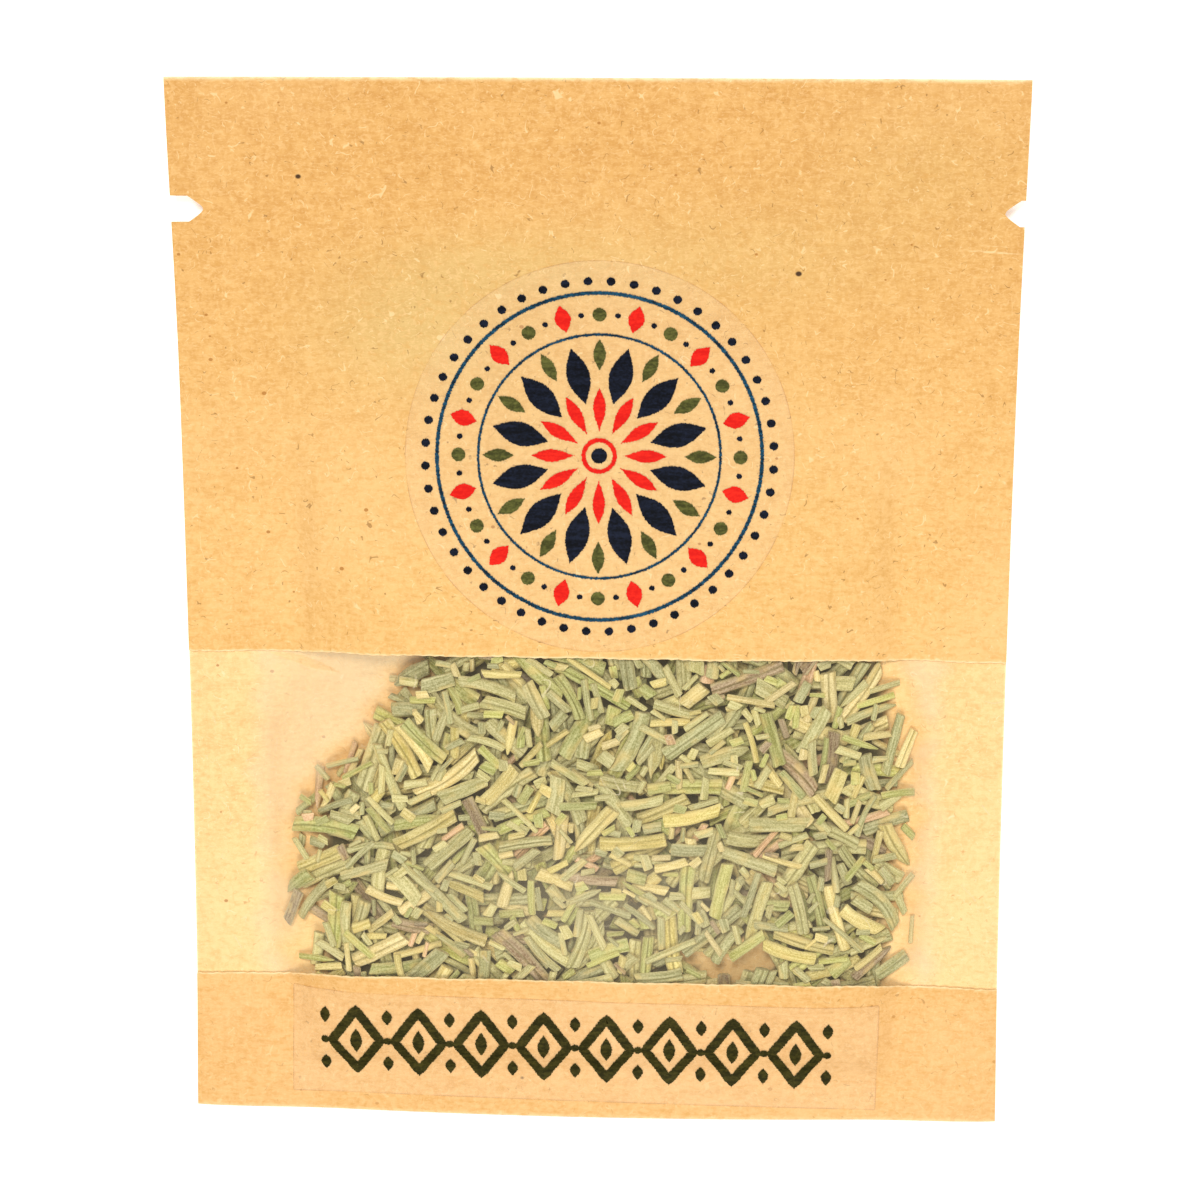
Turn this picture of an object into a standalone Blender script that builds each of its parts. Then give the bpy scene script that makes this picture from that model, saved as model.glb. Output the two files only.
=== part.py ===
# Kraft window pouch of dried rosemary, lying on its back.
# Metres, +Z up. +Y points to the pouch's top edge, +X to the right of its front.
# The origin is on the surface that it lies on, under the middle of its outline.

import math
import random

import bmesh
import bpy
from mathutils import Matrix, Vector

MM = 0.001

# Outline of the pouch
WIDTH = 78 * MM
HEIGHT = 100 * MM
WAIST = 0.4 * MM  # how far the filling draws each side in at mid height
BOTTOM_BOW = 0.5 * MM  # how much higher the bottom corners are than the middle

# Heat seals, and the straight edges of the window strip
SIDE_SEAL = 7 * MM
BOTTOM_SEAL = 4 * MM
TOP_SEAL = 9 * MM
WINDOW_BOTTOM = -35.6 * MM
WINDOW_TOP = -3.3 * MM

# Webs, with the gap that keeps them apart
PAPER = 0.3 * MM
FILM = 0.2 * MM
GAP = 0.2 * MM

# The pocket's swell between the seals
SWELL = 4.8 * MM
FULLEST_Y = -18 * MM
SWELL_FADE = 40 * MM  # how far above the fullest line the webs come together
EMPTY_SHARE = 0.1  # what is left of the swell in the empty upper half
SIDE_SQUARENESS = 4  # a higher power keeps the swell fuller out to the side seals
SIDE_SOFTNESS = 0.8
CORNER_POWER = 4  # blends the swell across and along, as in a pillow's corners
LEAST_SHARE = 1e-4  # of the swell, below which there is none

# The rim's lift off the surface
FLAT_HALF_WIDTH = 25 * MM
FLAT_BOTTOM = -36 * MM
FLAT_TOP = 22 * MM
SIDE_LIFT = 0.6 * MM
BOTTOM_LIFT = 1.3 * MM
BOTTOM_LIFT_LOSS = 0.6  # share of it missing at the bottom corners
TOP_LIFT = 1.0 * MM

# Tear notches: a square-backed punch with a pointed tip
NOTCH_Y = 38.1 * MM
NOTCH_WIDTH = 2.4 * MM
NOTCH_TIP = 1.4 * MM
LEFT_NOTCH_DEPTH = 3.0 * MM
RIGHT_NOTCH_DEPTH = 1.8 * MM
CUTTER_OVERSHOOT = 2 * MM
CUTTER_HALF_HEIGHT = 5 * MM

# Stickers
STICKER = 0.15 * MM
ROUND_CENTRE = Vector((0.4 * MM, 15.5 * MM))
ROUND_RADIUS = 18.1 * MM
NAME_CENTRE = Vector((-1.0 * MM, -42.9 * MM))
NAME_SIZE = (57.0 * MM, 10.9 * MM)
NAME_TURN = math.radians(-0.8)

# Filling
FILL_LEFT = -29.6 * MM
FILL_RIGHT = 30.8 * MM
FILL_BOTTOM = -42.5 * MM
FILL_TOP = 3.4 * MM
FILL_CENTRE = Vector((1.0 * MM, -20.0 * MM))
SLOPE_FOOT = Vector((-29.6 * MM, -18.0 * MM))  # the filling's slanting upper left side
SLOPE_DIRECTION = Vector((10.0, 13.5)).normalized()
CLEARANCE = 0.3 * MM  # filling to film and to back paper
LEAST_ROOM = 1.15 * MM  # thinnest space that still holds a needle
CORE_INSET = 2.6 * MM
CORE_ROOM = 1.5 * MM  # thinnest space that the core reaches into
CORE_BELOW_TOP = 0.8 * MM
CORE_ABOVE_BACK = 0.35 * MM
CORE_BUMP = 0.12 * MM
CORE_FULLNESS = 0.5  # below 1, a power that fills the pad out from a plain ellipsoid
HALVINGS = 24  # when its reach is searched for

# Cut needles, as spacing, length, width and thickness
TOP_SPACING = 3.4 * MM
UNDER_SPACING = 6.6 * MM
NEEDLE_LENGTH = (3.0 * MM, 8.0 * MM, 5.2 * MM)  # least, most, most common
NEEDLE_WIDTH = (1.0 * MM, 1.8 * MM)
NEEDLE_THICKNESS = (0.75 * MM, 0.95 * MM)
NEEDLE_TAPER = 0.88
NEEDLE_DROP = 0.3 * MM  # most that one lies below its neighbours
SCATTER = 0.3  # random share of the spacing
NEEDLE_SEED = 14
DIRECTIONS_TRIED = 8
CROWDING_SHARES = (-1, -0.5, 0, 0.5, 1)  # of a needle's half length, where its crowding is felt
LIMIT_STEPS = 6  # along a needle, where it is held clear of the web

# How finely the meshes are divided
COLUMN_STEPS = 6  # from the middle of a web to each side seal
BOTTOM_SEAL_STEPS = 1
LOWER_PAPER_STEPS = 4
WINDOW_STEPS = 7
UPPER_PAPER_STEPS = 9
ROUND_RINGS = 5
ROUND_STEPS = 32
NAME_STEPS = (14, 5)
CORE_SPOKES = 24
CORE_RINGS = 8
SHARP_ANGLE = math.radians(35)
WELD = 0.01 * MM

HALF_WIDTH = WIDTH / 2
BOTTOM = -HEIGHT / 2
TOP = HEIGHT / 2
POCKET_HALF_WIDTH = HALF_WIDTH - SIDE_SEAL
POCKET_BOTTOM = BOTTOM + BOTTOM_SEAL
POCKET_TOP = TOP - TOP_SEAL

# Colours, in linear light
KRAFT = (0.90, 0.60, 0.30)
HERB = (0.24, 0.27, 0.14)
CLEAR_FILM = (0.95, 0.93, 0.88)
CLEAR_STICKER = (0.93, 0.72, 0.42)


def ease(value):
    """Smooth step from 0 to 1."""
    value = min(max(value, 0.0), 1.0)
    return value * value * (3 - 2 * value)


# Surfaces that every web follows


def rim_lift(x, y):
    """Height of the back paper's underside: flat in the middle, curling up to the rim."""
    side = SIDE_LIFT * ease((abs(x) - FLAT_HALF_WIDTH) / (HALF_WIDTH - FLAT_HALF_WIDTH))
    bottom = BOTTOM_LIFT * ease((FLAT_BOTTOM - y) / (FLAT_BOTTOM - BOTTOM))
    bottom *= 1 - BOTTOM_LIFT_LOSS * (x / HALF_WIDTH) ** 2
    top = TOP_LIFT * ease((y - FLAT_TOP) / (TOP - FLAT_TOP))
    return side + bottom + top


def swell(x, y):
    """How far the filling pushes the film off the back paper."""
    across = max(0.0, 1 - abs(x / POCKET_HALF_WIDTH) ** SIDE_SQUARENESS) ** SIDE_SOFTNESS
    if y < FULLEST_Y:
        along = max(0.0, 1 - ((FULLEST_Y - y) / (FULLEST_Y - POCKET_BOTTOM)) ** 2)
    else:
        along = 1 - (1 - EMPTY_SHARE) * ease((y - FULLEST_Y) / SWELL_FADE)
        along *= 1 - ease((y - POCKET_TOP + TOP_SEAL) / TOP_SEAL)
    if min(across, along) < LEAST_SHARE:
        return 0.0
    return SWELL * (across**-CORNER_POWER + along**-CORNER_POWER) ** (-1 / CORNER_POWER)


def back_top(x, y):
    return rim_lift(x, y) + PAPER


def film_underside(x, y):
    return back_top(x, y) + GAP + swell(x, y)


def front_paper_underside(x, y):
    return film_underside(x, y) + FILM + GAP


def sticker_underside(x, y):
    return front_paper_underside(x, y) + PAPER + GAP


# Scene, materials and small helpers


def clear_scene():
    for thing in list(bpy.data.objects):
        bpy.data.objects.remove(thing, do_unlink=True)


def new_collection(name):
    collection = bpy.data.collections.new(name)
    bpy.context.scene.collection.children.link(collection)
    return collection


def new_material(name, colour, roughness, alpha=1.0):
    material = bpy.data.materials.new(name)
    material.use_nodes = True
    shader = material.node_tree.nodes["Principled BSDF"]
    shader.inputs["Base Color"].default_value = (*colour, 1.0)
    shader.inputs["Roughness"].default_value = roughness
    shader.inputs["Metallic"].default_value = 0.0
    shader.inputs["Alpha"].default_value = alpha
    material.diffuse_color = (*colour, alpha)
    return material


def object_from(name, shape, collection, material=None):
    """A new object from a bmesh, which is freed."""
    mesh = bpy.data.meshes.new(name)
    shape.to_mesh(mesh)
    shape.free()
    thing = bpy.data.objects.new(name, mesh)
    collection.objects.link(thing)
    if material:
        mesh.materials.append(material)
    return thing


def thicken(thing, thickness):
    """Solidify an open sheet upwards from its own surface."""
    solidify = thing.modifiers.new("thickness", "SOLIDIFY")
    solidify.thickness = thickness
    solidify.offset = 1.0


def smooth(thing):
    thing.data.shade_smooth()
    thing.data.set_sharp_from_angle(angle=SHARP_ANGLE)


# Webs


def even_lines(start, end, count):
    return [start + (end - start) * step / count for step in range(count)]


def column_lines():
    """Places across the pouch, closer together towards the side seals."""
    lines = [-HALF_WIDTH]
    for step in range(-COLUMN_STEPS, COLUMN_STEPS + 1):
        lines.append(POCKET_HALF_WIDTH * math.sin(math.pi / 2 * step / COLUMN_STEPS))
    lines.append(HALF_WIDTH)
    return lines


SEAL_ROWS = even_lines(BOTTOM, POCKET_BOTTOM, BOTTOM_SEAL_STEPS)
LOWER_ROWS = SEAL_ROWS + even_lines(POCKET_BOTTOM, WINDOW_BOTTOM, LOWER_PAPER_STEPS)
WINDOW_ROWS = even_lines(WINDOW_BOTTOM, WINDOW_TOP, WINDOW_STEPS)
UPPER_ROWS = even_lines(WINDOW_TOP, POCKET_TOP, UPPER_PAPER_STEPS) + [POCKET_TOP, TOP]


def on_outline(x, y):
    """Draw a point of the plain rectangle in to the pouch's waist and up to its bowed bottom edge."""
    share = x / HALF_WIDTH
    drawn_in = WAIST * max(0.0, 1 - (y / TOP) ** 2)
    lowness = max(0.0, (WINDOW_BOTTOM - y) / (WINDOW_BOTTOM - BOTTOM))
    return x - share * drawn_in, y + BOTTOM_BOW * share**2 * lowness


def make_web(name, rows, height, thickness, material, collection):
    """An open grid on the given rows, set on a height formula and thickened."""
    columns = column_lines()
    shape = bmesh.new()
    bmesh.ops.create_grid(shape, x_segments=len(columns) - 1, y_segments=len(rows) - 1, size=1.0)
    for vert in shape.verts:
        column = round((vert.co.x + 1) / 2 * (len(columns) - 1))
        row = round((vert.co.y + 1) / 2 * (len(rows) - 1))
        x, y = on_outline(columns[column], rows[row])
        vert.co = (x, y, height(x, y))
    web = object_from(name, shape, collection, material)
    thicken(web, thickness)
    smooth(web)
    return web


# Tear notches


def make_notch_cutter(name, side, depth, collection):
    """A flat outline extruded through every web: straight sides, then a point."""
    half = NOTCH_WIDTH / 2
    outside = HALF_WIDTH + CUTTER_OVERSHOOT
    shoulder = HALF_WIDTH - depth + NOTCH_TIP
    corners = [
        (outside, -half),
        (outside, half),
        (shoulder, half),
        (HALF_WIDTH - depth, 0),
        (shoulder, -half),
    ]
    curve = bpy.data.curves.new(name, "CURVE")
    curve.dimensions = "2D"
    curve.fill_mode = "BOTH"
    curve.extrude = CUTTER_HALF_HEIGHT
    spline = curve.splines.new("POLY")
    spline.points.add(len(corners) - 1)
    for point, (x, y) in zip(spline.points, corners):
        point.co = (side * x, NOTCH_Y + y, 0, 1)
    spline.use_cyclic_u = True
    outline = bpy.data.objects.new(name + "_outline", curve)
    collection.objects.link(outline)
    bpy.context.view_layer.update()
    evaluated = outline.evaluated_get(bpy.context.evaluated_depsgraph_get())
    mesh = bpy.data.meshes.new_from_object(evaluated)
    shape = bmesh.new()
    shape.from_mesh(mesh)
    bmesh.ops.remove_doubles(shape, verts=shape.verts, dist=WELD)
    bmesh.ops.recalc_face_normals(shape, faces=shape.faces)
    bpy.data.meshes.remove(mesh)
    bpy.data.objects.remove(outline)
    cutter = object_from(name, shape, collection)
    cutter.hide_render = True
    cutter.display_type = "WIRE"
    return cutter


def cut(thing, cutters):
    for cutter in cutters:
        notch = thing.modifiers.new("tear notch", "BOOLEAN")
        notch.operation = "DIFFERENCE"
        notch.object = cutter


# Stickers


def make_round_label(collection, material):
    """A disc spun from one spoke, laid on the upper paper."""
    shape = bmesh.new()
    places = [ROUND_RADIUS * ring / ROUND_RINGS for ring in range(ROUND_RINGS + 1)]
    spoke = [shape.verts.new((place, 0, 0)) for place in places]
    edges = [shape.edges.new(pair) for pair in zip(spoke, spoke[1:])]
    bmesh.ops.spin(
        shape,
        geom=spoke + edges,
        axis=(0, 0, 1),
        cent=(0, 0, 0),
        angle=math.tau,
        steps=ROUND_STEPS,
        use_merge=True,
    )
    bmesh.ops.remove_doubles(shape, verts=shape.verts, dist=WELD)
    for vert in shape.verts:
        x, y = ROUND_CENTRE + vert.co.xy
        vert.co = (x, y, sticker_underside(x, y))
    label = object_from("round_label", shape, collection, material)
    thicken(label, STICKER)
    smooth(label)
    return label


def make_name_label(collection, material):
    """A long strip, turned a little, laid on the lower paper."""
    along, across = NAME_STEPS
    shape = bmesh.new()
    bmesh.ops.create_grid(shape, x_segments=along, y_segments=across, size=1.0)
    for vert in shape.verts:
        flat = Vector((vert.co.x * NAME_SIZE[0] / 2, vert.co.y * NAME_SIZE[1] / 2))
        x, y = NAME_CENTRE + Matrix.Rotation(NAME_TURN, 2) @ flat
        vert.co = (x, y, sticker_underside(x, y))
    label = object_from("name_label", shape, collection, material)
    thicken(label, STICKER)
    smooth(label)
    return label


# Filling


def fill_ceiling(x, y):
    return film_underside(x, y) - CLEARANCE


def fill_floor(x, y):
    return back_top(x, y) + CLEARANCE


def in_fill(x, y, inset=0.0, room=LEAST_ROOM):
    """Whether a place lies in the filling's outline, this far in from its edge."""
    beyond_slope = SLOPE_DIRECTION.cross(Vector((x, y)) - SLOPE_FOOT)
    if max(FILL_LEFT - x, x - FILL_RIGHT, FILL_BOTTOM - y, y - FILL_TOP, beyond_slope) > -inset:
        return False
    return fill_ceiling(x, y) - fill_floor(x, y) > room


def core_reach(angle):
    """How far the core spreads from its centre at this angle."""
    near, far = 0.0, HEIGHT
    direction = Vector((math.cos(angle), math.sin(angle)))
    for _ in range(HALVINGS):
        middle = (near + far) / 2
        if in_fill(*(FILL_CENTRE + direction * middle), inset=CORE_INSET, room=CORE_ROOM):
            near = middle
        else:
            far = middle
    return near


def make_core(rng, collection, material):
    """A low uneven pad: a sphere spread to the filling's outline and pressed between the webs."""
    shape = bmesh.new()
    bmesh.ops.create_uvsphere(shape, u_segments=CORE_SPOKES, v_segments=CORE_RINGS, radius=1.0)
    for vert in shape.verts:
        spread = min(vert.co.xy.length, 1.0)
        angle = math.atan2(vert.co.y, vert.co.x)
        reach = core_reach(angle) * spread
        x, y = FILL_CENTRE + Vector((math.cos(angle), math.sin(angle))) * reach
        roof = fill_ceiling(x, y) - CORE_BELOW_TOP
        floor = fill_floor(x, y) + CORE_ABOVE_BACK
        rise = math.copysign(abs(vert.co.z) ** CORE_FULLNESS, vert.co.z)
        z = (roof + floor) / 2 + rise * (roof - floor) / 2
        vert.co = (x, y, z + rng.uniform(-CORE_BUMP, 0))
    return object_from("rosemary_fill", shape, collection, material)


def make_needle(index, start, end, width, thickness, ridge_up, collection):
    """One cut needle: a flattened three-sided prism, a little narrower at its far end."""
    shape = bmesh.new()
    along = end - start
    length = along.length
    bmesh.ops.create_cone(
        shape, cap_ends=True, segments=3, radius1=1.0, radius2=NEEDLE_TAPER, depth=length
    )
    # The cone runs along Z. Its triangle has one corner at x = 1, which becomes the ridge,
    # and the opposite side at x = -0.5, so that it is 1.5 tall and sqrt(3) wide.
    turn = along.to_track_quat("X", "Z").to_matrix()
    flip = 1 if ridge_up else -1
    for vert in shape.verts:
        across = vert.co.y * width / math.sqrt(3)
        up = flip * (vert.co.x - 0.25) * thickness / 1.5
        vert.co = (start + end) / 2 + turn @ Vector((vert.co.z, across, up))
    shape.normal_update()
    bmesh.ops.recalc_face_normals(shape, faces=shape.faces)
    return object_from("needle_%03d" % index, shape, collection)


def lattice(spacing, rng):
    """Jittered places on staggered rows over the filling."""
    row_gap = spacing * math.sqrt(3) / 2
    rows = int((FILL_TOP - FILL_BOTTOM) / row_gap) + 1
    columns = int((FILL_RIGHT - FILL_LEFT) / spacing) + 1
    for row in range(rows):
        for column in range(columns):
            stagger = 0.5 * (row % 2)
            x = FILL_LEFT + (column + stagger + rng.uniform(-SCATTER, SCATTER)) * spacing
            y = FILL_BOTTOM + row * row_gap + rng.uniform(-SCATTER, SCATTER) * spacing
            if in_fill(x, y, inset=CORE_INSET, room=CORE_ROOM):
                yield Vector((x, y))


def crowding(centre, half, laid):
    """How many points of the needles already laid are close to this one."""
    spots = [centre + half * share for share in CROWDING_SHARES]
    near = NEEDLE_WIDTH[1] ** 2
    return sum((spot - other).length_squared < near for spot in spots for other in laid)


def pick_direction(centre, length, laid, rng):
    """The least crowded of a few random directions that keep both tips in the filling."""
    choices = []
    for _ in range(DIRECTIONS_TRIED):
        angle = rng.uniform(0, math.pi)
        half = Vector((math.cos(angle), math.sin(angle))) * length / 2
        if in_fill(*(centre - half)) and in_fill(*(centre + half)):
            choices.append(half)
    return min(choices, key=lambda half: crowding(centre, half, laid), default=None)


def lay_needles(spacing, on_top, rng, collection):
    """Scatter cut needles over the core's top or underside, each one clear of the webs."""
    limit = fill_ceiling if on_top else fill_floor
    toward = 1 if on_top else -1
    laid = []
    for centre in lattice(spacing, rng):
        width = rng.uniform(*NEEDLE_WIDTH)
        thickness = rng.uniform(*NEEDLE_THICKNESS)
        length = rng.triangular(*NEEDLE_LENGTH)
        drop = rng.uniform(0, NEEDLE_DROP)
        half = pick_direction(centre, length, laid, rng)
        if half is None:
            length = NEEDLE_LENGTH[0]
            half = pick_direction(centre, length, laid, rng)
        if half is None:
            continue
        laid += [centre + half * share for share in CROWDING_SHARES]
        ends = [centre - half, centre + half]
        reach = thickness / 2
        heights = [limit(*end) - toward * (reach + drop) for end in ends]
        # Draw the needle back from the web until no part of it passes the limit.
        side = Vector((-half.y, half.x)).normalized() * width / 2
        excess = 0.0
        for step in range(LIMIT_STEPS + 1):
            share = step / LIMIT_STEPS
            spot = ends[0].lerp(ends[1], share)
            face = heights[0] + (heights[1] - heights[0]) * share + toward * reach
            for edge in (spot - side, spot, spot + side):
                excess = max(excess, toward * (face - limit(*edge)))
        start = Vector((*ends[0], heights[0] - toward * excess))
        end = Vector((*ends[1], heights[1] - toward * excess))
        make_needle(len(collection.objects), start, end, width, thickness, on_top, collection)


def keep_largest_shell(thing):
    """Drop loose scraps, and the inner walls of hollows that the union sealed."""
    shape = bmesh.new()
    shape.from_mesh(thing.data)
    reached = set()
    shells = []
    for first in shape.faces:
        if first in reached:
            continue
        reached.add(first)
        shell = [first]
        for face in shell:
            for edge in face.edges:
                for other in edge.link_faces:
                    if other not in reached:
                        reached.add(other)
                        shell.append(other)
        shells.append(shell)
    shells.sort(key=len)
    for shell in shells[:-1]:
        bmesh.ops.delete(shape, geom=shell, context="FACES")
    shape.to_mesh(thing.data)
    shape.free()


def make_filling(collection, material):
    """The core and its needles, fused by one union."""
    rng = random.Random(NEEDLE_SEED)
    needles = new_collection("cut_needles")
    filling = make_core(rng, collection, material)
    lay_needles(TOP_SPACING, True, rng, needles)
    lay_needles(UNDER_SPACING, False, rng, needles)
    union = filling.modifiers.new("fuse needles", "BOOLEAN")
    union.operation = "UNION"
    union.solver = "MANIFOLD"
    union.operand_type = "COLLECTION"
    union.collection = needles
    bpy.context.view_layer.update()
    evaluated = filling.evaluated_get(bpy.context.evaluated_depsgraph_get())
    fused = bpy.data.meshes.new_from_object(evaluated)
    filling.modifiers.clear()
    filling.data = fused
    fused.name = "rosemary_fill"
    keep_largest_shell(filling)
    for needle in list(needles.objects):
        bpy.data.objects.remove(needle, do_unlink=True)
    bpy.data.collections.remove(needles)
    return filling


def main():
    clear_scene()
    pouch = new_collection("rosemary_window_pouch")
    cutters_home = new_collection("cutters")

    kraft_back = new_material("kraft_back", KRAFT, 0.85)
    kraft_upper = new_material("kraft_upper", KRAFT, 0.85)
    kraft_lower = new_material("kraft_lower", KRAFT, 0.85)
    clear_film = new_material("clear_film", CLEAR_FILM, 0.15, alpha=0.2)
    herb = new_material("dried_rosemary", HERB, 0.9)
    round_sticker = new_material("round_sticker", CLEAR_STICKER, 0.35, alpha=0.6)
    name_sticker = new_material("name_sticker", CLEAR_STICKER, 0.35, alpha=0.6)

    cutters = [
        make_notch_cutter("left_notch_cutter", -1, LEFT_NOTCH_DEPTH, cutters_home),
        make_notch_cutter("right_notch_cutter", 1, RIGHT_NOTCH_DEPTH, cutters_home),
    ]

    all_rows = LOWER_ROWS + WINDOW_ROWS + UPPER_ROWS
    back = make_web("back_paper", all_rows, rim_lift, PAPER, kraft_back, pouch)
    film = make_web("front_film", all_rows, film_underside, FILM, clear_film, pouch)
    upper = make_web(
        "front_paper_upper", UPPER_ROWS, front_paper_underside, PAPER, kraft_upper, pouch
    )
    make_web(
        "front_paper_lower",
        LOWER_ROWS + [WINDOW_BOTTOM],
        front_paper_underside,
        PAPER,
        kraft_lower,
        pouch,
    )
    for web in (back, film, upper):
        cut(web, cutters)

    make_round_label(pouch, round_sticker)
    make_name_label(pouch, name_sticker)
    make_filling(pouch, herb)


main()
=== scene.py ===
# Kraft window pouch of dried rosemary, lying on its back: the finish of every surface.
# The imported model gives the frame. Lengths here are in millimetres, +Z up and +Y to the
# pouch's top edge, and become metres only where a mesh is made.
import math
import random

import bpy
import numpy as np
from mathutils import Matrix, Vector


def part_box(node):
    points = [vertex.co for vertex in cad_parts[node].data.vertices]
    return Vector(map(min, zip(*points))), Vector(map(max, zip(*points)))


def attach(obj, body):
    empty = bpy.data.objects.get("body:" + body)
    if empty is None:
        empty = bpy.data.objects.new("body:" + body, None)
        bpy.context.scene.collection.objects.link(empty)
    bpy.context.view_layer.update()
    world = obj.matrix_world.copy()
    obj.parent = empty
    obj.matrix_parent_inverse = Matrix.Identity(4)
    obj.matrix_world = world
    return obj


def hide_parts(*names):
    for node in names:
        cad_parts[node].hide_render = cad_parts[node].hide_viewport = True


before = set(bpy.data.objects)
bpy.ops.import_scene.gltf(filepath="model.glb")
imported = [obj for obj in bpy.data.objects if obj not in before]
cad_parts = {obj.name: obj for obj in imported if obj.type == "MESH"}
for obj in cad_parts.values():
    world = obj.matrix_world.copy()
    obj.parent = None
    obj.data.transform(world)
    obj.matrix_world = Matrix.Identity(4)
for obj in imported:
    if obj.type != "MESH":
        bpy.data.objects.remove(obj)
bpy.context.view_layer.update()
mm = 0.001
body = "root"


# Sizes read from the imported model


def nodeBox(node):
    low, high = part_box(node)
    return low / mm, high / mm


backLow, backHigh = nodeBox("back_paper")
roundLow, roundHigh = nodeBox("round_label")
longLow, longHigh = nodeBox("name_label")

halfWidth = backHigh.x
bottomEdge = backLow.y
topEdge = backHigh.y
windowTop = nodeBox("front_paper_upper")[0].y
windowBottom = nodeBox("front_paper_lower")[1].y

# The rest of the pouch's form, as the solids have it
pouch = {
    "sideSeal": 7.0,
    "bottomSeal": 4.0,
    "topSeal": 9.0,
    "waist": 0.4,  # how far the filling draws each side in
    "bottomBow": 0.5,
    "swell": 4.8,
    "fullestY": -18.0,
    "swellFade": 40.0,
    "emptyShare": 0.1,
    "squareness": 4,
    "softness": 1.1,
    "archTop": 1.6,  # softer still across the upper paper
    "archBottom": 1.0,  # and across the lower one
    "topFade": (9.0, 11.0),  # starts this far inside the window, and runs this far
    "bottomFade": (4.0, 7.0),
    "cornerPower": 4,
    "softStart": 1.3,
    "firstShare": 0.25,
}

# The webs are thin and bonded here, so the rim lifts a little more than the solids' does,
# to stay within the height of their thicker stack
rim = {
    "flatHalfWidth": 25.0,
    "flatBottom": -36.0,
    "flatTop": 22.0,
    "sideLift": 0.9,
    "bottomLift": 1.5,
    "bottomLoss": 0.6,
    "topLift": 1.3,
}

webs = {
    "paper": 0.16,
    "film": 0.05,
    "bond": 0.015,
    "pocketGap": 0.3,  # extra room between film and back in the pocket
    "spacing": 0.5,  # of the grid that a web is made of
    "sticker": 0.07,
    "ink": 0.012,
}

notch = {"y": 38.1, "width": 2.4, "tip": 1.4, "blunt": 0.28, "leftDepth": 3.0, "rightDepth": 1.8}

# How the papers' edges at the window stray from straight: a rise, a slant, and how far they
# are drawn up where the filling lifts them
stray = {
    "top": (-0.45, -0.0015, 0.154),
    "bottom": (-0.52, -0.0019, 0.275),
    "reach": 7.0,
    "fray": 0.04,
}

pocketHalf = halfWidth - pouch["sideSeal"]
pocketBottom = bottomEdge + pouch["bottomSeal"]
pocketTop = topEdge - pouch["topSeal"]


def ease(value):
    value = np.clip(value, 0.0, 1.0)
    return value * value * (3 - 2 * value)


def bell(value, middle, width):
    return np.exp(-(((value - middle) / width) ** 2))


def rimLift(x, y):
    flat = rim["flatHalfWidth"]
    side = rim["sideLift"] * ease((abs(x) - flat) / (halfWidth - flat))
    down = rim["bottomLift"] * ease((rim["flatBottom"] - y) / (rim["flatBottom"] - bottomEdge))
    down = down * (1 - rim["bottomLoss"] * (x / halfWidth) ** 2)
    up = rim["topLift"] * ease((y - rim["flatTop"]) / (topEdge - rim["flatTop"]))
    return side + down + up


def swell(x, y):
    before, run = pouch["topFade"]
    arch = pouch["softness"] + pouch["archTop"] * ease((y - windowTop + before) / run)
    before, run = pouch["bottomFade"]
    arch = arch + pouch["archBottom"] * ease((windowBottom + before - y) / run)
    across = np.maximum(0.0, 1 - abs(x / pocketHalf) ** pouch["squareness"]) ** arch
    below = 1 - (np.maximum(0.0, pouch["fullestY"] - y) / (pouch["fullestY"] - pocketBottom)) ** 2
    above = 1 - (1 - pouch["emptyShare"]) * ease((y - pouch["fullestY"]) / pouch["swellFade"])
    above = above * (1 - ease((y - pocketTop + pouch["topSeal"]) / pouch["topSeal"]))
    along = np.where(y < pouch["fullestY"], np.maximum(0.0, below), above)
    least = 1e-4
    power = pouch["cornerPower"]
    full = (np.maximum(across, least) ** -power + np.maximum(along, least) ** -power) ** (-1 / power)
    rise = np.where(np.minimum(across, along) < least, 0.0, pouch["swell"] * full)
    # No crease where a seal ends
    return rise * ease(pouch["firstShare"] + rise / pouch["softStart"])


# Slow waves and puckers of the loose front, none of them where it is sealed
slack = {"wave": 0.07, "pucker": 0.13, "crumple": 0.05, "fullAt": 1.2, "band": 2.6}


def looseness(x, y):
    return ease(swell(x, y) / slack["fullAt"])


def slackWave(x, y):
    wave = np.sin(x * 0.23 + 1.3 * np.sin(y * 0.11)) * np.cos(y * 0.17 + 0.6)
    wave = wave + 0.6 * np.sin(x * 0.41 - y * 0.29 + 2.0)
    edgeward = bell(abs(x), pocketHalf - 3.2, slack["band"])
    pucker = edgeward * np.sin(y * 0.92 + 0.9 * np.sin(y * 0.31) + np.sign(x) * 0.8)
    endward = bell(y, pocketBottom + 3.0, slack["band"])
    pucker = pucker + endward * np.sin(x * 0.74 + 0.8 * np.sin(x * 0.23))
    crumple = np.sin(x * 0.9 + y * 0.5) * np.sin(y * 0.8 - x * 0.35)
    mixed = slack["wave"] * wave + slack["pucker"] * pucker + slack["crumple"] * crumple
    return looseness(x, y) * mixed


def backTop(x, y):
    return rimLift(x, y) + webs["paper"]


def filmUnder(x, y):
    gap = webs["bond"] + webs["pocketGap"] * looseness(x, y)
    return backTop(x, y) + gap + swell(x, y) + slackWave(x, y)


def paperUnder(x, y):
    return filmUnder(x, y) + webs["film"] + webs["bond"]


def stickerUnder(x, y):
    return paperUnder(x, y) + webs["paper"] + webs["bond"]


def inkUnder(x, y):
    return stickerUnder(x, y) + webs["sticker"] + 0.3 * webs["bond"]


def onOutline(x, y):
    share = x / halfWidth
    drawnIn = pouch["waist"] * np.maximum(0.0, 1 - (y / topEdge) ** 2)
    lowness = np.maximum(0.0, (windowBottom - y) / (windowBottom - bottomEdge))
    return x - share * drawnIn, y + pouch["bottomBow"] * share**2 * lowness


# Shader maths: a socket that can be added, multiplied and so on in an expression


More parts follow.
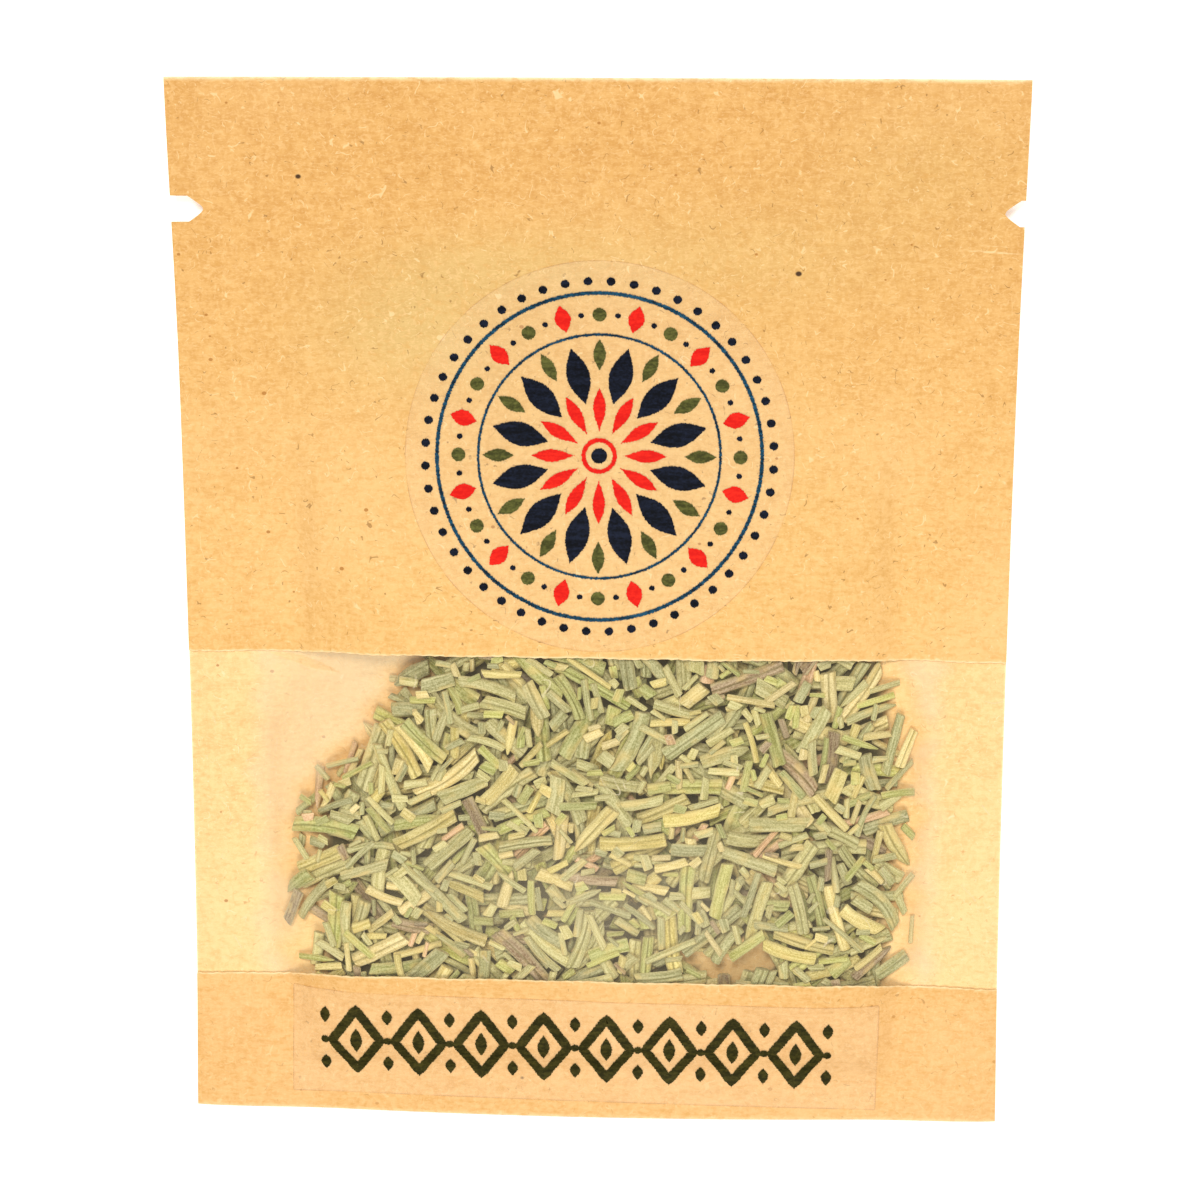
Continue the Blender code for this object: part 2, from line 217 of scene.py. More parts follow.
class Knob:
    def __init__(self, recipe, socket):
        self.recipe = recipe
        self.socket = socket

    def maths(self, operation, *values):
        return self.recipe.add("ShaderNodeMath", {"operation": operation}, values)

    def __add__(self, other):
        return self.maths("ADD", self, other)

    def __sub__(self, other):
        return self.maths("SUBTRACT", self, other)

    def __mul__(self, other):
        return self.maths("MULTIPLY", self, other)

    def __truediv__(self, other):
        return self.maths("DIVIDE", self, other)

    def __rsub__(self, other):
        return self.maths("SUBTRACT", other, self)

    def __abs__(self):
        return self.maths("ABSOLUTE", self)

    __radd__ = __add__
    __rmul__ = __mul__

    def larger(self, other):
        return self.maths("MAXIMUM", self, other)

    def between(self, start, end):  # a smooth step, 0 at start and 1 at end
        ranges = {"Value": self, "From Min": start, "From Max": end}
        return self.recipe.add("ShaderNodeMapRange", {"interpolation_type": "SMOOTHSTEP"}, ranges)


class Recipe:
    def __init__(self, name):
        self.material = bpy.data.materials.new(name)
        self.material.use_nodes = True
        self.nodes = self.material.node_tree.nodes
        self.links = self.material.node_tree.links
        self.shader = self.nodes["Principled BSDF"]

    def feed(self, socket, value):
        if isinstance(value, Knob):
            self.links.new(value.socket, socket)
        else:
            socket.default_value = value

    # Any node: its type, its settings, its sockets' values or links, and the output wanted
    def add(self, kind, settings=None, inputs=(), output=0):
        node = self.nodes.new(kind)
        for key, value in (settings or {}).items():
            setattr(node, key, value)
        pairs = inputs.items() if isinstance(inputs, dict) else enumerate(inputs)
        for key, value in pairs:
            self.feed(node.inputs[key], value)
        return Knob(self, node.outputs[output])

    def vector(self, operation, *values):
        return self.add("ShaderNodeVectorMath", {"operation": operation}, values)

    # Millimetres on the object, moved by a seed and stretched along an axis
    def place(self, shift=(0, 0, 0), stretch=(1, 1, 1)):
        metres = self.add("ShaderNodeTexCoord", output="Object")
        spread = self.vector("MULTIPLY", metres, tuple(s / mm for s in stretch))
        return self.vector("ADD", spread, shift)

    def noise(self, place, size, detail=2, roughness=0.5, distortion=0.0):
        sockets = {
            "Vector": place,
            "Scale": 1 / size,
            "Detail": detail,
            "Roughness": roughness,
            "Distortion": distortion,
        }
        return self.add("ShaderNodeTexNoise", {}, sockets)

    def mix(self, factor, first, second, blend="MIX"):
        settings = {"data_type": "RGBA", "blend_type": blend}
        sockets = {0: factor}
        for key, colour in ((6, first), (7, second)):
            sockets[key] = colour if isinstance(colour, Knob) else (*colour, 1.0)
        return self.add("ShaderNodeMix", settings, sockets, output=2)

    def attribute(self, name, output="Fac"):
        return self.add("ShaderNodeAttribute", {"attribute_name": name}, (), output)

    def bump(self, height, distance, strength=1.0):
        sockets = {"Height": height, "Distance": distance * mm, "Strength": strength}
        return self.add("ShaderNodeBump", {}, sockets)

    def finish(self, **sockets):
        for key, value in sockets.items():
            socket = self.shader.inputs[key.replace("_", " ")]
            if isinstance(value, tuple) and len(value) == 3:
                value = (*value, 1.0)
            self.feed(socket, value)
        return self.material


# Kraft paper

kraftLook = {
    "deep": (0.685, 0.365, 0.096),
    "body": (0.815, 0.490, 0.175),
    "pale": (0.86, 0.55, 0.235),
    "green": (0.60, 0.46, 0.17),
    "paleFibre": (0.90, 0.64, 0.32),
    "darkFibre": (0.24, 0.10, 0.014),
    "speck": (0.060, 0.024, 0.004),
    "speckBrown": (0.40, 0.15, 0.018),
    # pale cut fibres and the painted highlight of the cut edges
    "cutEdge": (1.0, 0.84, 0.50),
    "dustAndShade": (0.085, 0.070, 0.022),  # of the cut herb, and painted shade under the heap
    "warmShade": (0.66, 0.30, 0.06),  # painted warm shadow round the heap's edge
    "topShade": (0.845, 0.745, 0.60),
    "footTint": (0.975, 0.945, 1.0),
}

# The back paper's inside, seen through the film: lighter and yellower, partly the look of kraft
# bonded under film and partly painted light that makes up for the light the film holds back
innerLitLook = {
    **kraftLook,
    "deep": (0.77, 0.445, 0.145),
    "body": (0.90, 0.600, 0.250),
    "pale": (0.94, 0.67, 0.32),
    "paleFibre": (0.95, 0.74, 0.42),
    "darkFibre": (0.50, 0.25, 0.060),
    "speck": (0.30, 0.13, 0.030),
    "topShade": (1.0, 1.0, 1.0),
    "footTint": (1.0, 1.0, 1.0),
}


# Short curled fibres: level lines of one noise, kept where another noise is high
def strands(make, shift, size, width, kept):
    field = make.noise(make.place(shift), size, 1, distortion=0.6)
    line = abs(field - 0.5).between(width, width * 0.25)
    patch = make.noise(make.place((shift[1], shift[2], shift[0])), size * 0.42, 0)
    return line * patch.between(kept, kept + 0.05)


# Round specks, in a share of the cells only, each with its own size
def specks(make, shift, cell, radius, kept):
    place = make.place(shift, (1.0, 1.25, 1.0))
    settings = {"feature": "F1"}
    sockets = {"Vector": place, "Scale": 1 / cell, "Randomness": 1.0}
    distance = make.add("ShaderNodeTexVoronoi", settings, sockets, output="Distance")
    chance = make.add("ShaderNodeTexVoronoi", settings, sockets, output="Color")
    parts = make.add("ShaderNodeSeparateColor", {}, {0: chance}, output=0)
    size = parts.between(kept, 1.0) * (radius / cell)
    return (size - distance).between(0.0, 0.25 * radius / cell)


# A slim lens between two places: 1 inside it, 0 outside
def lens(make, start, end, width, wobble):
    start, end = np.array(start), np.array(end)
    length = math.hypot(*(end - start))
    ahead = (end - start) / length
    offset = make.vector("SUBTRACT", make.place(), (*start, 0.0))
    waver = make.noise(make.place((2.0, 2.0, 2.0)), 1.2, 2) - 0.5
    ways = ((*ahead, 0.0), (ahead[1], -ahead[0], 0.0))
    dot = {"operation": "DOT_PRODUCT"}
    along, off = [make.add("ShaderNodeVectorMath", dot, (offset, way), "Value") for way in ways]
    share = along / length
    bulge = share * (1.0 - share) * (4 * width)
    return (bulge - abs(off + waver * wobble)).between(-0.02, 0.14)


# Kinds of fibre: seed, size, thickness, and how high the other noise has to be
fibres = {
    "dull": ((5.0, 2.0, 8.0), 1.5, 0.050, 0.46),
    "light": ((15.0, 6.0, 1.0), 1.3, 0.045, 0.48),
    "thick": ((3.0, 1.0, 7.0), 2.3, 0.013, 0.64),
    "thin": ((11.0, 5.0, 2.0), 1.2, 0.018, 0.62),
    "brown": ((21.0, 8.0, 4.0), 1.5, 0.014, 0.655),
}

# Small and large specks: seed, cell, radius, and the share of the cells without one
speckKinds = [((2.0, 9.0, 0.0), 2.4, 0.26, 0.58), ((7.0, 3.0, 5.0), 6.5, 0.50, 0.50)]

# Pale creases, the longest of them beside the right notch: two ends and a width
creases = [
    ((33.2, 34.75), (39.2, 34.45), 0.15),
    ((34.6, 35.25), (38.2, 35.05), 0.08),
    ((24.9, 36.1), (27.6, 37.1), 0.09),
    ((31.8, 29.4), (32.4, 31.0), 0.07),
]


def makeKraft(name, look, shift, creased=()):
    make = Recipe(name)
    fibre = {}
    for kind, ((across, up, seed), *form) in fibres.items():
        fibre[kind] = strands(make, (across + shift[0], up, seed), *form)
    clouds = make.noise(make.place(shift, (0.8, 1.0, 1.0)), 21, 1)
    drift = make.noise(make.place((shift[2], 3.0, 6.0), (0.8, 1.0, 1.0)), 6.0, 2)
    mottle = make.noise(make.place(shift, (0.85, 1.0, 1.0)), 1.7, 4, 0.66)
    pulp = make.noise(make.place(shift, (0.38, 1.0, 1.0)), 0.36, 3, 0.6)
    lean = make.place((shift[1], 4.0, 9.0), (0.9, 0.40, 1.0))
    leaning = make.noise(lean, 0.36, 3, 0.6)
    grain = make.noise(make.place(shift, (0.5, 1.0, 1.0)), 0.15, 2, 0.6)
    tone = 0.27 * mottle + 0.38 * pulp + 0.26 * leaning + 0.09 * drift
    colour = make.mix(tone.between(0.35, 0.60), look["deep"], look["body"])
    colour = make.mix(clouds.between(0.44, 0.72) * 0.35, colour, look["pale"])
    height = make.add("ShaderNodeSeparateXYZ", {}, {0: make.place()}, output=1)
    # Painted shade: the paper darker and browner towards the pouch's top edge, more so in its deeper
    # patches
    topward = height.between(-5.0, 50.0)
    uneven = 0.70 + 0.30 * tone.between(0.60, 0.38)
    colour = make.mix(topward * uneven, colour, look["topShade"], "MULTIPLY")
    footward = height.between(-28.0, -42.0)
    plain = 1.0 - 0.45 * footward  # fibres and specks are fainter on the lower paper
    colour = make.mix(footward, colour, look["footTint"], "MULTIPLY")
    colour = make.mix(make.attribute("tone"), colour, look["green"])
    colour = make.mix(grain.between(0.48, 0.72) * 0.42, colour, look["pale"])
    colour = make.mix(pulp.between(0.45, 0.26) * 0.45, colour, look["deep"])
    # A faint felt of many short fibres, then a few that stand out
    colour = make.mix(fibre["dull"] * 0.30, colour, look["deep"])
    colour = make.mix(fibre["light"] * 0.30, colour, look["pale"])
    pale = fibre["thick"].larger(fibre["thin"] * 0.8)
    colour = make.mix(pale * 0.62 * plain, colour, look["paleFibre"])
    colour = make.mix(fibre["brown"] * 0.62 * plain, colour, look["darkFibre"])
    small, large = [
        specks(make, (across, up + shift[1], seed), *form) for (across, up, seed), *form in speckKinds
    ]
    colour = make.mix(small * 0.80 * plain, colour, look["speckBrown"])
    colour = make.mix(large, colour, look["speck"])
    # Painted shade: the warm shadow round the heap's edge, in patches
    warmShaded = make.attribute("warmShade") * drift.between(0.35, 0.62)
    colour = make.mix(warmShaded, colour, look["warmShade"])
    for start, end, width in creased:
        crease = lens(make, start, end, width, 0.12)
        colour = make.mix(crease * pulp.between(0.30, 0.55) * 0.75, colour, look["paleFibre"])
    # Pale cut fibres and a painted highlight along the cut edges, in patches
    worn = pulp.between(0.30, 0.62) * 0.6 + 0.4
    colour = make.mix(make.attribute("rim") * worn, colour, look["cutEdge"])
    # Painted shade: dark herb dust and the shade under the heap, in patches
    dustyAndShaded = make.attribute("dustAndShade") * mottle.between(0.30, 0.44)
    colour = make.mix(dustyAndShaded, colour, look["dustAndShade"])
    relief = 0.55 * pulp + 0.30 * grain + 0.5 * mottle
    relief = relief + 0.2 * fibre["thick"] - 0.1 * fibre["brown"]
    return make.finish(
        Base_Color=colour,
        Roughness=0.62 + 0.22 * mottle,
        Normal=make.bump(relief, 0.07, 0.55),
        Specular_IOR_Level=0.35,
    )


# Clear film, a little milky where it isn't wetted by a seal or pressed on the filling

filmLook = {"milk": (1.0, 0.84, 0.56), "roughness": 0.24, "scuffed": 0.22}

# A slim patch by the heap's top left, where the film touches the back and is clearer
contactPatch = {"start": (-31.3, -3.85), "end": (-23.8, -5.3), "width": 0.50, "wobble": 0.35}


def makeFilm():
    make = Recipe("clear_film_finish")
    blotch = make.noise(make.place((4.0, 2.0, 0.0), (1.0, 0.55, 1.0)), 3.4, 4, 0.6)
    cross = make.noise(make.place((9.0, 6.0, 0.0), (1.6, 0.35, 1.0)), 0.9, 3, 0.6)
    drift = make.noise(make.place((1.0, 7.0, 3.0)), 9.0)
    clear = 1.0 - 0.5 * lens(make, **contactPatch)
    milky = make.attribute("haze") * (0.45 + 0.7 * blotch + 0.25 * cross + 0.35 * drift) * clear
    scuffs = strands(make, (5.0, 12.0, 9.0), 5.0, 0.006, 0.66)
    ripple = make.noise(make.place((3.0, 3.0, 3.0), (1.0, 0.7, 1.0)), 5.0)
    return make.finish(
        Base_Color=filmLook["milk"],
        Roughness=filmLook["roughness"] + 0.18 * blotch,
        Alpha=milky.larger(scuffs * filmLook["scuffed"]),
        Normal=make.bump(ripple + 0.05 * blotch, 0.25, 0.6),
        Specular_IOR_Level=0.32,
    )


# Clear stickers and their printed inks

stickerLook = {"body": (0.95, 0.85, 0.62), "edge": (0.52, 0.22, 0.05), "roughness": 0.30}


def makeSticker():
    make = Recipe("clear_sticker_finish")
    rimShare = make.attribute("rim")
    cloud = make.noise(make.place((6.0, 1.0, 2.0)), 2.2, 3)
    weave = make.noise(make.place((2.0, 4.0, 0.0), (0.25, 1.0, 1.0)), 0.5, 2)
    colour = make.mix(rimShare, stickerLook["body"], stickerLook["edge"])
    return make.finish(
        Base_Color=colour,
        Roughness=stickerLook["roughness"] + 0.15 * cloud,
        Alpha=0.028 + 0.03 * cloud + 0.01 * weave + 0.16 * rimShare * cloud.between(0.3, 0.6),
        Normal=make.bump(0.5 * cloud + 0.5 * weave, 0.03, 0.4),
        Specular_IOR_Level=0.35,
    )


inkColours = {
    "navy": ((0.0015, 0.002, 0.004), (0.010, 0.014, 0.030)),
    "teal": ((0.003, 0.010, 0.018), (0.012, 0.085, 0.150)),
    "red": ((0.62, 0.008, 0.005), (0.82, 0.022, 0.010)),
    "olive": ((0.045, 0.045, 0.010), (0.13, 0.130, 0.030)),
    "dark_olive": ((0.018, 0.016, 0.002), (0.060, 0.050, 0.009)),
}
inkEdge = {"tooth": 0.08, "rim": 0.14}  # how far the paper's tooth eats in, and the thin rim's width


def makeInk(name):
    dark, light = inkColours[name]
    make = Recipe("ink_" + name)
    inward = make.attribute("inward")
    weave = make.noise(make.place((1.0, 5.0, 0.0), (0.6, 1.0, 1.0)), 0.22, 3, 0.7)
    band = make.noise(make.place((8.0, 2.0, 0.0), (0.15, 1.0, 1.0)), 0.45, 2)
    tooth = make.noise(make.place((4.0, 4.0, 0.0)), 0.13, 1)
    wear = 0.6 * weave + 0.4 * band
    colour = make.mix(wear.between(0.38, 0.68), dark, light)
    colour = make.mix(inward.between(inkEdge["rim"], 0.0) * 0.6, colour, light)
    eaten = inward - inkEdge["tooth"] * tooth.between(0.35, 0.65)
    return make.finish(
        Base_Color=colour,
        Roughness=0.45 + 0.2 * weave,
        Alpha=eaten.between(-0.01, 0.03) * (1.0 - 0.30 * weave.between(0.62, 0.85)),
        Normal=make.bump(weave, 0.01, 0.3),
        Specular_IOR_Level=0.06,
    )


# Meshes


def meshObject(name, points, faces, materials):
    mesh = bpy.data.meshes.new(name)
    mesh.from_pydata((np.asarray(points) * mm).tolist(), [], faces)
    for material in materials:
        mesh.materials.append(material)
    mesh.update()
    thing = bpy.data.objects.new(name, mesh)
    bpy.context.scene.collection.objects.link(thing)
    return thing


def storeValues(thing, name, values, kind="FLOAT", domain="POINT"):
    layer = thing.data.attributes.new(name, kind, domain)
    key = {"FLOAT": "value", "FLOAT_VECTOR": "vector", "FLOAT_COLOR": "color"}[kind]
    layer.data.foreach_set(key, np.asarray(values, np.float32).ravel())


def smooth(thing, degrees):
    thing.data.shade_smooth()
    thing.data.set_sharp_from_angle(angle=math.radians(degrees))


def settle(thing, slot, *nodes):
    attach(thing, body)
    if nodes:
        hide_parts(*nodes)


# Faces between rings of points that follow each other, with the same count in each
def tubeFaces(rings, count, base=0, closed=False):
    faces = []
    for ring in range(rings if closed else rings - 1):
        here = base + ring * count
        ahead = base + (ring + 1) % rings * count
        for k in range(count):
            following = (k + 1) % count
            faces.append((here + k, here + following, ahead + following, ahead + k))
    return faces


def endFaces(rings, count, base=0):
    last = base + (rings - 1) * count
    return [tuple(range(base + count - 1, base - 1, -1)), tuple(range(last, last + count))]


# A thin closed sheet on a grid of rows and columns, with a top and an underside
def sheetMesh(name, gridX, gridY, under, thickness, materials):
    rows, columns = gridX.shape
    bottom = under(gridX, gridY)
    flat = [gridX.ravel(), gridY.ravel()]
    low = np.stack([*flat, bottom.ravel()], 1)
    high = np.stack([*flat, bottom.ravel() + thickness], 1)
    count = rows * columns
    index = np.arange(count).reshape(rows, columns)
    corners = (index[:-1, :-1], index[:-1, 1:], index[1:, 1:], index[1:, :-1])
    quads = np.stack([c.ravel() for c in corners], 1)
    faces = (quads[:, ::-1]).tolist() + (quads + count).tolist()
    loop = [*index[0, :-1], *index[:-1, -1], *index[-1, :0:-1], *index[:0:-1, 0]]
    for first, second in zip(loop, loop[1:] + loop[:1]):
        faces.append((first, second, second + count, first + count))
    sheet = meshObject(name, np.concatenate([low, high]), faces, materials)
    smooth(sheet, 40)
    return sheet


# Grid lines with finer steps beside both cut edges
def gridLines(start, end, extra=()):
    steps = max(2, round((end - start) / webs["spacing"]))
    lines = list(np.linspace(start, end, steps + 1))
    fine = (0.08, 0.2, 0.4)
    lines += [start + f for f in fine] + [end - f for f in fine]
    lines += [value for value in extra if start < value < end]
    return np.array(sorted(set(lines)))


# How far out a web reaches on one side, at each height: the outline with its tear notch
def cutEdge(y, depth):
    half = notch["width"] / 2
    away = abs(y - notch["y"]) / half
    blunt = notch["blunt"]
    rounded = (np.hypot(away, blunt) - blunt) / (math.hypot(1, blunt) - blunt)
    return np.where(away < 1, halfWidth - depth + notch["tip"] * rounded, halfWidth)


def webGrid(start, end):
    half = notch["width"] / 2
    hair = 0.002
    corners = [notch["y"] + side * (half + move) for side in (-1, 1) for move in (-hair, hair)]
    shares = (0.0, 0.18, 0.35, 0.55, 0.8)
    inner = [notch["y"] + side * share * half for side in (-1, 1) for share in shares]
    rows = gridLines(start, end, corners + inner)
    columns = gridLines(-halfWidth, halfWidth, (-pocketHalf, pocketHalf))
    x, y = np.meshgrid(columns, rows)
    leftReach = (cutEdge(y, notch["leftDepth"]) - pocketHalf) / pouch["sideSeal"]
    rightReach = (cutEdge(y, notch["rightDepth"]) - pocketHalf) / pouch["sideSeal"]
    reach = np.where(x < 0, leftReach, rightReach)
    beyond = np.maximum(0.0, abs(x) - pocketHalf)
    x = np.sign(x) * (np.minimum(abs(x), pocketHalf) + beyond * reach)
    return onOutline(x, y)


# A paper's grid with its edge at the window moved off the straight line
def paperGrid(start, end, edge, strays):
    x, y = webGrid(start, end)
    rise, slant, drawn = stray[strays]
    near = ease(1 - abs(y - edge) / stray["reach"])
    fray = stray["fray"] * (np.sin(x * 7.3) + np.sin(x * 11.9 + 1.0)) * ease(1 - abs(y - edge) / 0.3)
    return x, y + near * (rise + slant * x + drawn * swell(x, edge)) + fray


def doubled(values):
    return np.concatenate([values.ravel(), values.ravel()])


# Pale cut edges, on the papers partly pale cut fibres and partly a painted highlight where the edge
# catches the light: 1 on the edge, fading out within a fraction of a millimetre
def cutPaleness(gridX, gridY, width, sides):
    inward = {
        "bottom": gridY - gridY[0],
        "top": gridY[-1] - gridY,
        "ends": np.minimum(gridX - gridX[:, :1], gridX[:, -1:] - gridX),
    }
    return np.clip(np.max([1 - inward[side] / width for side in sides], 0), 0, 1)


# Soft greenish patches where the photo shows them: centre, half sizes, strength
greenPatches = [
    (-17.0, 27.0, 9.0, 5.5, 0.42),
    (-8.0, 33.0, 12.0, 3.5, 0.30),
    (14.0, 34.0, 14.0, 5.0, 0.22),
    (0.0, 14.0, 20.0, 16.0, 0.22),
    (30.0, 42.0, 9.0, 6.0, 0.18),
]


def greenTone(x, y):
    tone = np.zeros(x.shape)
    for middleX, middleY, wide, tall, share in greenPatches:
        tone = tone + share * bell(x, middleX, wide) * bell(y, middleY, tall)
    return np.clip(tone, 0, 1)


# How far out a place lies from each bare place, where 1 is its edge
def fromBarePlaces(x, y):
    for middleX, middleY, wide, tall in barePlaces:
        yield ((x - middleX) / wide) ** 2 + ((y - middleY) / tall) ** 2


# Dust of the cut herb and painted shade on the back paper under the heap, where the gaps between
# needles look down to it; none of it where the paper shows
def herbDustAndShade(x, y):
    dustAndShade = ease((x - heapLeft(y) - 3.0) / 1.5) * ease((heapRight(y) - 3.0 - x) / 1.5)
    for away in fromBarePlaces(x, y):
        dustAndShade = dustAndShade * ease((away - 1.6) / 0.8)
    return dustAndShade * ease((herb["top"] - y) / 2)


# Painted shade: a faint warm shadow on the back paper round the heap's edge
edgeShadeBand = {"share": 0.26, "inside": 0.5, "width": 1.3}


def warmEdgeShade(x, y):
    inside = np.minimum(x - heapLeft(y), heapRight(y) - x)
    fade = ease((herb["top"] + 1 - y) / 2)
    return edgeShadeBand["share"] * bell(inside, edgeShadeBand["inside"], edgeShadeBand["width"]) * fade


# A front paper with pale cut edges: the side, width and strength of each
def frontPaper(name, node, finish, ends, strays, edges):
    edge = windowTop if strays == "top" else windowBottom
    grid = paperGrid(*ends, edge, strays)
    paper = sheetMesh(name, *grid, paperUnder, webs["paper"], [finish])
    pale = [cutPaleness(*grid, width, (side,)) * share for side, width, share in edges]
    storeValues(paper, "rim", doubled(np.max(pale, 0)))
    if strays == "top":
        storeValues(paper, "tone", doubled(greenTone(*grid)))
    settle(paper, "kraft_front", node)


def makePapers():
    front = makeKraft("kraft_front_finish", kraftLook, (0.0, 0.0, 0.0), creases)
    inside = makeKraft("kraft_inside_lit_finish", innerLitLook, (31.0, 17.0, 5.0))
    behind = makeKraft("kraft_back_finish", kraftLook, (52.0, 40.0, 9.0), creases)

    grid = webGrid(bottomEdge, topEdge)
    back = sheetMesh("kraft_back_web", *grid, rimLift, webs["paper"], [behind, inside])
    inner = [polygon.normal.z > 0.5 for polygon in back.data.polygons]
    back.data.polygons.foreach_set("material_index", np.array(inner, np.int32))
    storeValues(back, "rim", doubled(cutPaleness(*grid, 0.2, ("top", "bottom", "ends")) * 0.6))
    storeValues(back, "dustAndShade", doubled(herbDustAndShade(*grid)))
    storeValues(back, "warmShade", doubled(warmEdgeShade(*grid)))
    settle(back, "kraft_back", "back_paper")

    ends = (windowTop, topEdge)
    edges = [("bottom", 0.2, 0.7), ("top", 0.32, 0.9)]
    frontPaper("kraft_upper_web", "front_paper_upper", front, ends, "top", edges)
    ends = (bottomEdge, windowBottom)
    edges = [("top", 0.2, 0.7), ("bottom", 0.3, 0.4)]
    frontPaper("kraft_lower_web", "front_paper_lower", front, ends, "bottom", edges)
    print("papers made")


# Where the film looks milky: more over the loose strips than over the filling or the seals
hazeLook = {
    "seal": 0.035,
    "strip": 0.19,
    "herb": 0.018,
    "beside": 0.03,
    "veil": 0.045,
    "veilMiddle": (0.0, -27.0),
    "veilSize": (17.0, 6.0),
}


def filmHaze(x, y):
    wobble = np.sin(y * 0.62 + np.sign(x)) * np.sin(y * 0.23 + 2) + 0.5 * np.sin(y * 1.7)
    seal = ease((abs(x) - pocketHalf + 1.0 + 0.7 * wobble) / 2.6)
    ragged = 1.1 * np.sin(y * 1.1 + 0.5) * np.sin(y * 0.43)
    overHerb = ease((x - heapLeft(y) - ragged + 2.4) / 4.2)
    overHerb = overHerb * ease((heapRight(y) + ragged - x + 1.2) / 3.0)
    haze = hazeLook["strip"] + (hazeLook["herb"] - hazeLook["strip"]) * overHerb
    haze = haze + (hazeLook["seal"] - haze) * seal
    beside = bell(abs(x), pocketHalf - 0.3, 1.6) * ease(0.5 + 0.7 * wobble)
    veil = 1.0
    for place, middle, size in zip((x, y), hazeLook["veilMiddle"], hazeLook["veilSize"]):
        veil = veil * bell(place, middle, size)
    return haze + hazeLook["beside"] * beside + hazeLook["veil"] * veil


def makeWindow():
    grid = webGrid(bottomEdge, topEdge)
    film = sheetMesh("window_film", *grid, filmUnder, webs["film"], [makeFilm()])
    storeValues(film, "haze", doubled(filmHaze(*grid)))
    settle(film, "clear_film", "front_film")
    print("window film made")


# Stickers

longSticker = {"size": (57.0, 10.9), "turn": math.radians(-0.8), "corner": 0.2}
roundCentre = np.array([(roundLow.x + roundHigh.x) / 2, (roundLow.y + roundHigh.y) / 2])
roundRadius = (roundHigh.x - roundLow.x) / 2
longCentre = np.array([(longLow.x + longHigh.x) / 2, (longLow.y + longHigh.y) / 2])


def turned(points, angle):
    c, s = math.cos(angle), math.sin(angle)
    return np.asarray(points) @ np.array([[c, s], [-s, c]])


def makeRoundSticker(material):
    spokes = 160
    fine = [0.985, 0.993, 1.0]
    inner = np.array([0.02, *np.linspace(0.06, 0.97, 26), *fine]) * roundRadius
    angles = np.arange(spokes) / spokes * math.tau
    rings = np.concatenate([inner, inner[::-1]])  # out along the underside, back along the top
    radius, angle = np.meshgrid(rings, angles, indexing="ij")
    x = roundCentre[0] + radius * np.cos(angle)
    y = roundCentre[1] + radius * np.sin(angle)
    z = stickerUnder(x, y)
    z[len(inner):] += webs["sticker"]
    points = np.stack([x.ravel(), y.ravel(), z.ravel()], 1)
    faces = tubeFaces(len(rings), spokes) + endFaces(len(rings), spokes)
    sticker = meshObject("round_sticker", points, faces, [material])
    storeValues(sticker, "rim", np.clip(1 - (roundRadius - radius) / 0.14, 0, 1))
    smooth(sticker, 40)
    settle(sticker, "clear_sticker", "round_label")


def makeLongSticker(material):
    width, height = longSticker["size"]
    columns = gridLines(-width / 2, width / 2)
    rows = gridLines(-height / 2, height / 2)
    x, y = np.meshgrid(columns, rows)
    edging = cutPaleness(x, y, 0.13, ("top", "bottom", "ends"))
    corner = longSticker["corner"]  # round the corners by drawing the last columns' ends in
    overX = np.maximum(0.0, abs(x) - (width / 2 - corner)) / corner
    overY = np.maximum(0.0, abs(y) - (height / 2 - corner)) / corner
    pull = np.maximum(1.0, np.hypot(overX, overY) / np.maximum(1e-6, np.maximum(overX, overY)))
    x = np.where(overX > 0, np.sign(x) * (width / 2 - corner + corner * overX / pull), x)
    y = np.where(overY > 0, np.sign(y) * (height / 2 - corner + corner * overY / pull), y)
    spots = turned(np.stack([x.ravel(), y.ravel()], 1), longSticker["turn"]) + longCentre
    gridX, gridY = spots[:, 0].reshape(x.shape), spots[:, 1].reshape(x.shape)
    sticker = sheetMesh("long_sticker", gridX, gridY, stickerUnder, webs["sticker"], [material])
    storeValues(sticker, "rim", doubled(edging))
    settle(sticker, "clear_sticker", "name_label")


# Printed ornament: thin solids along a line of given half widths, laid on a sticker


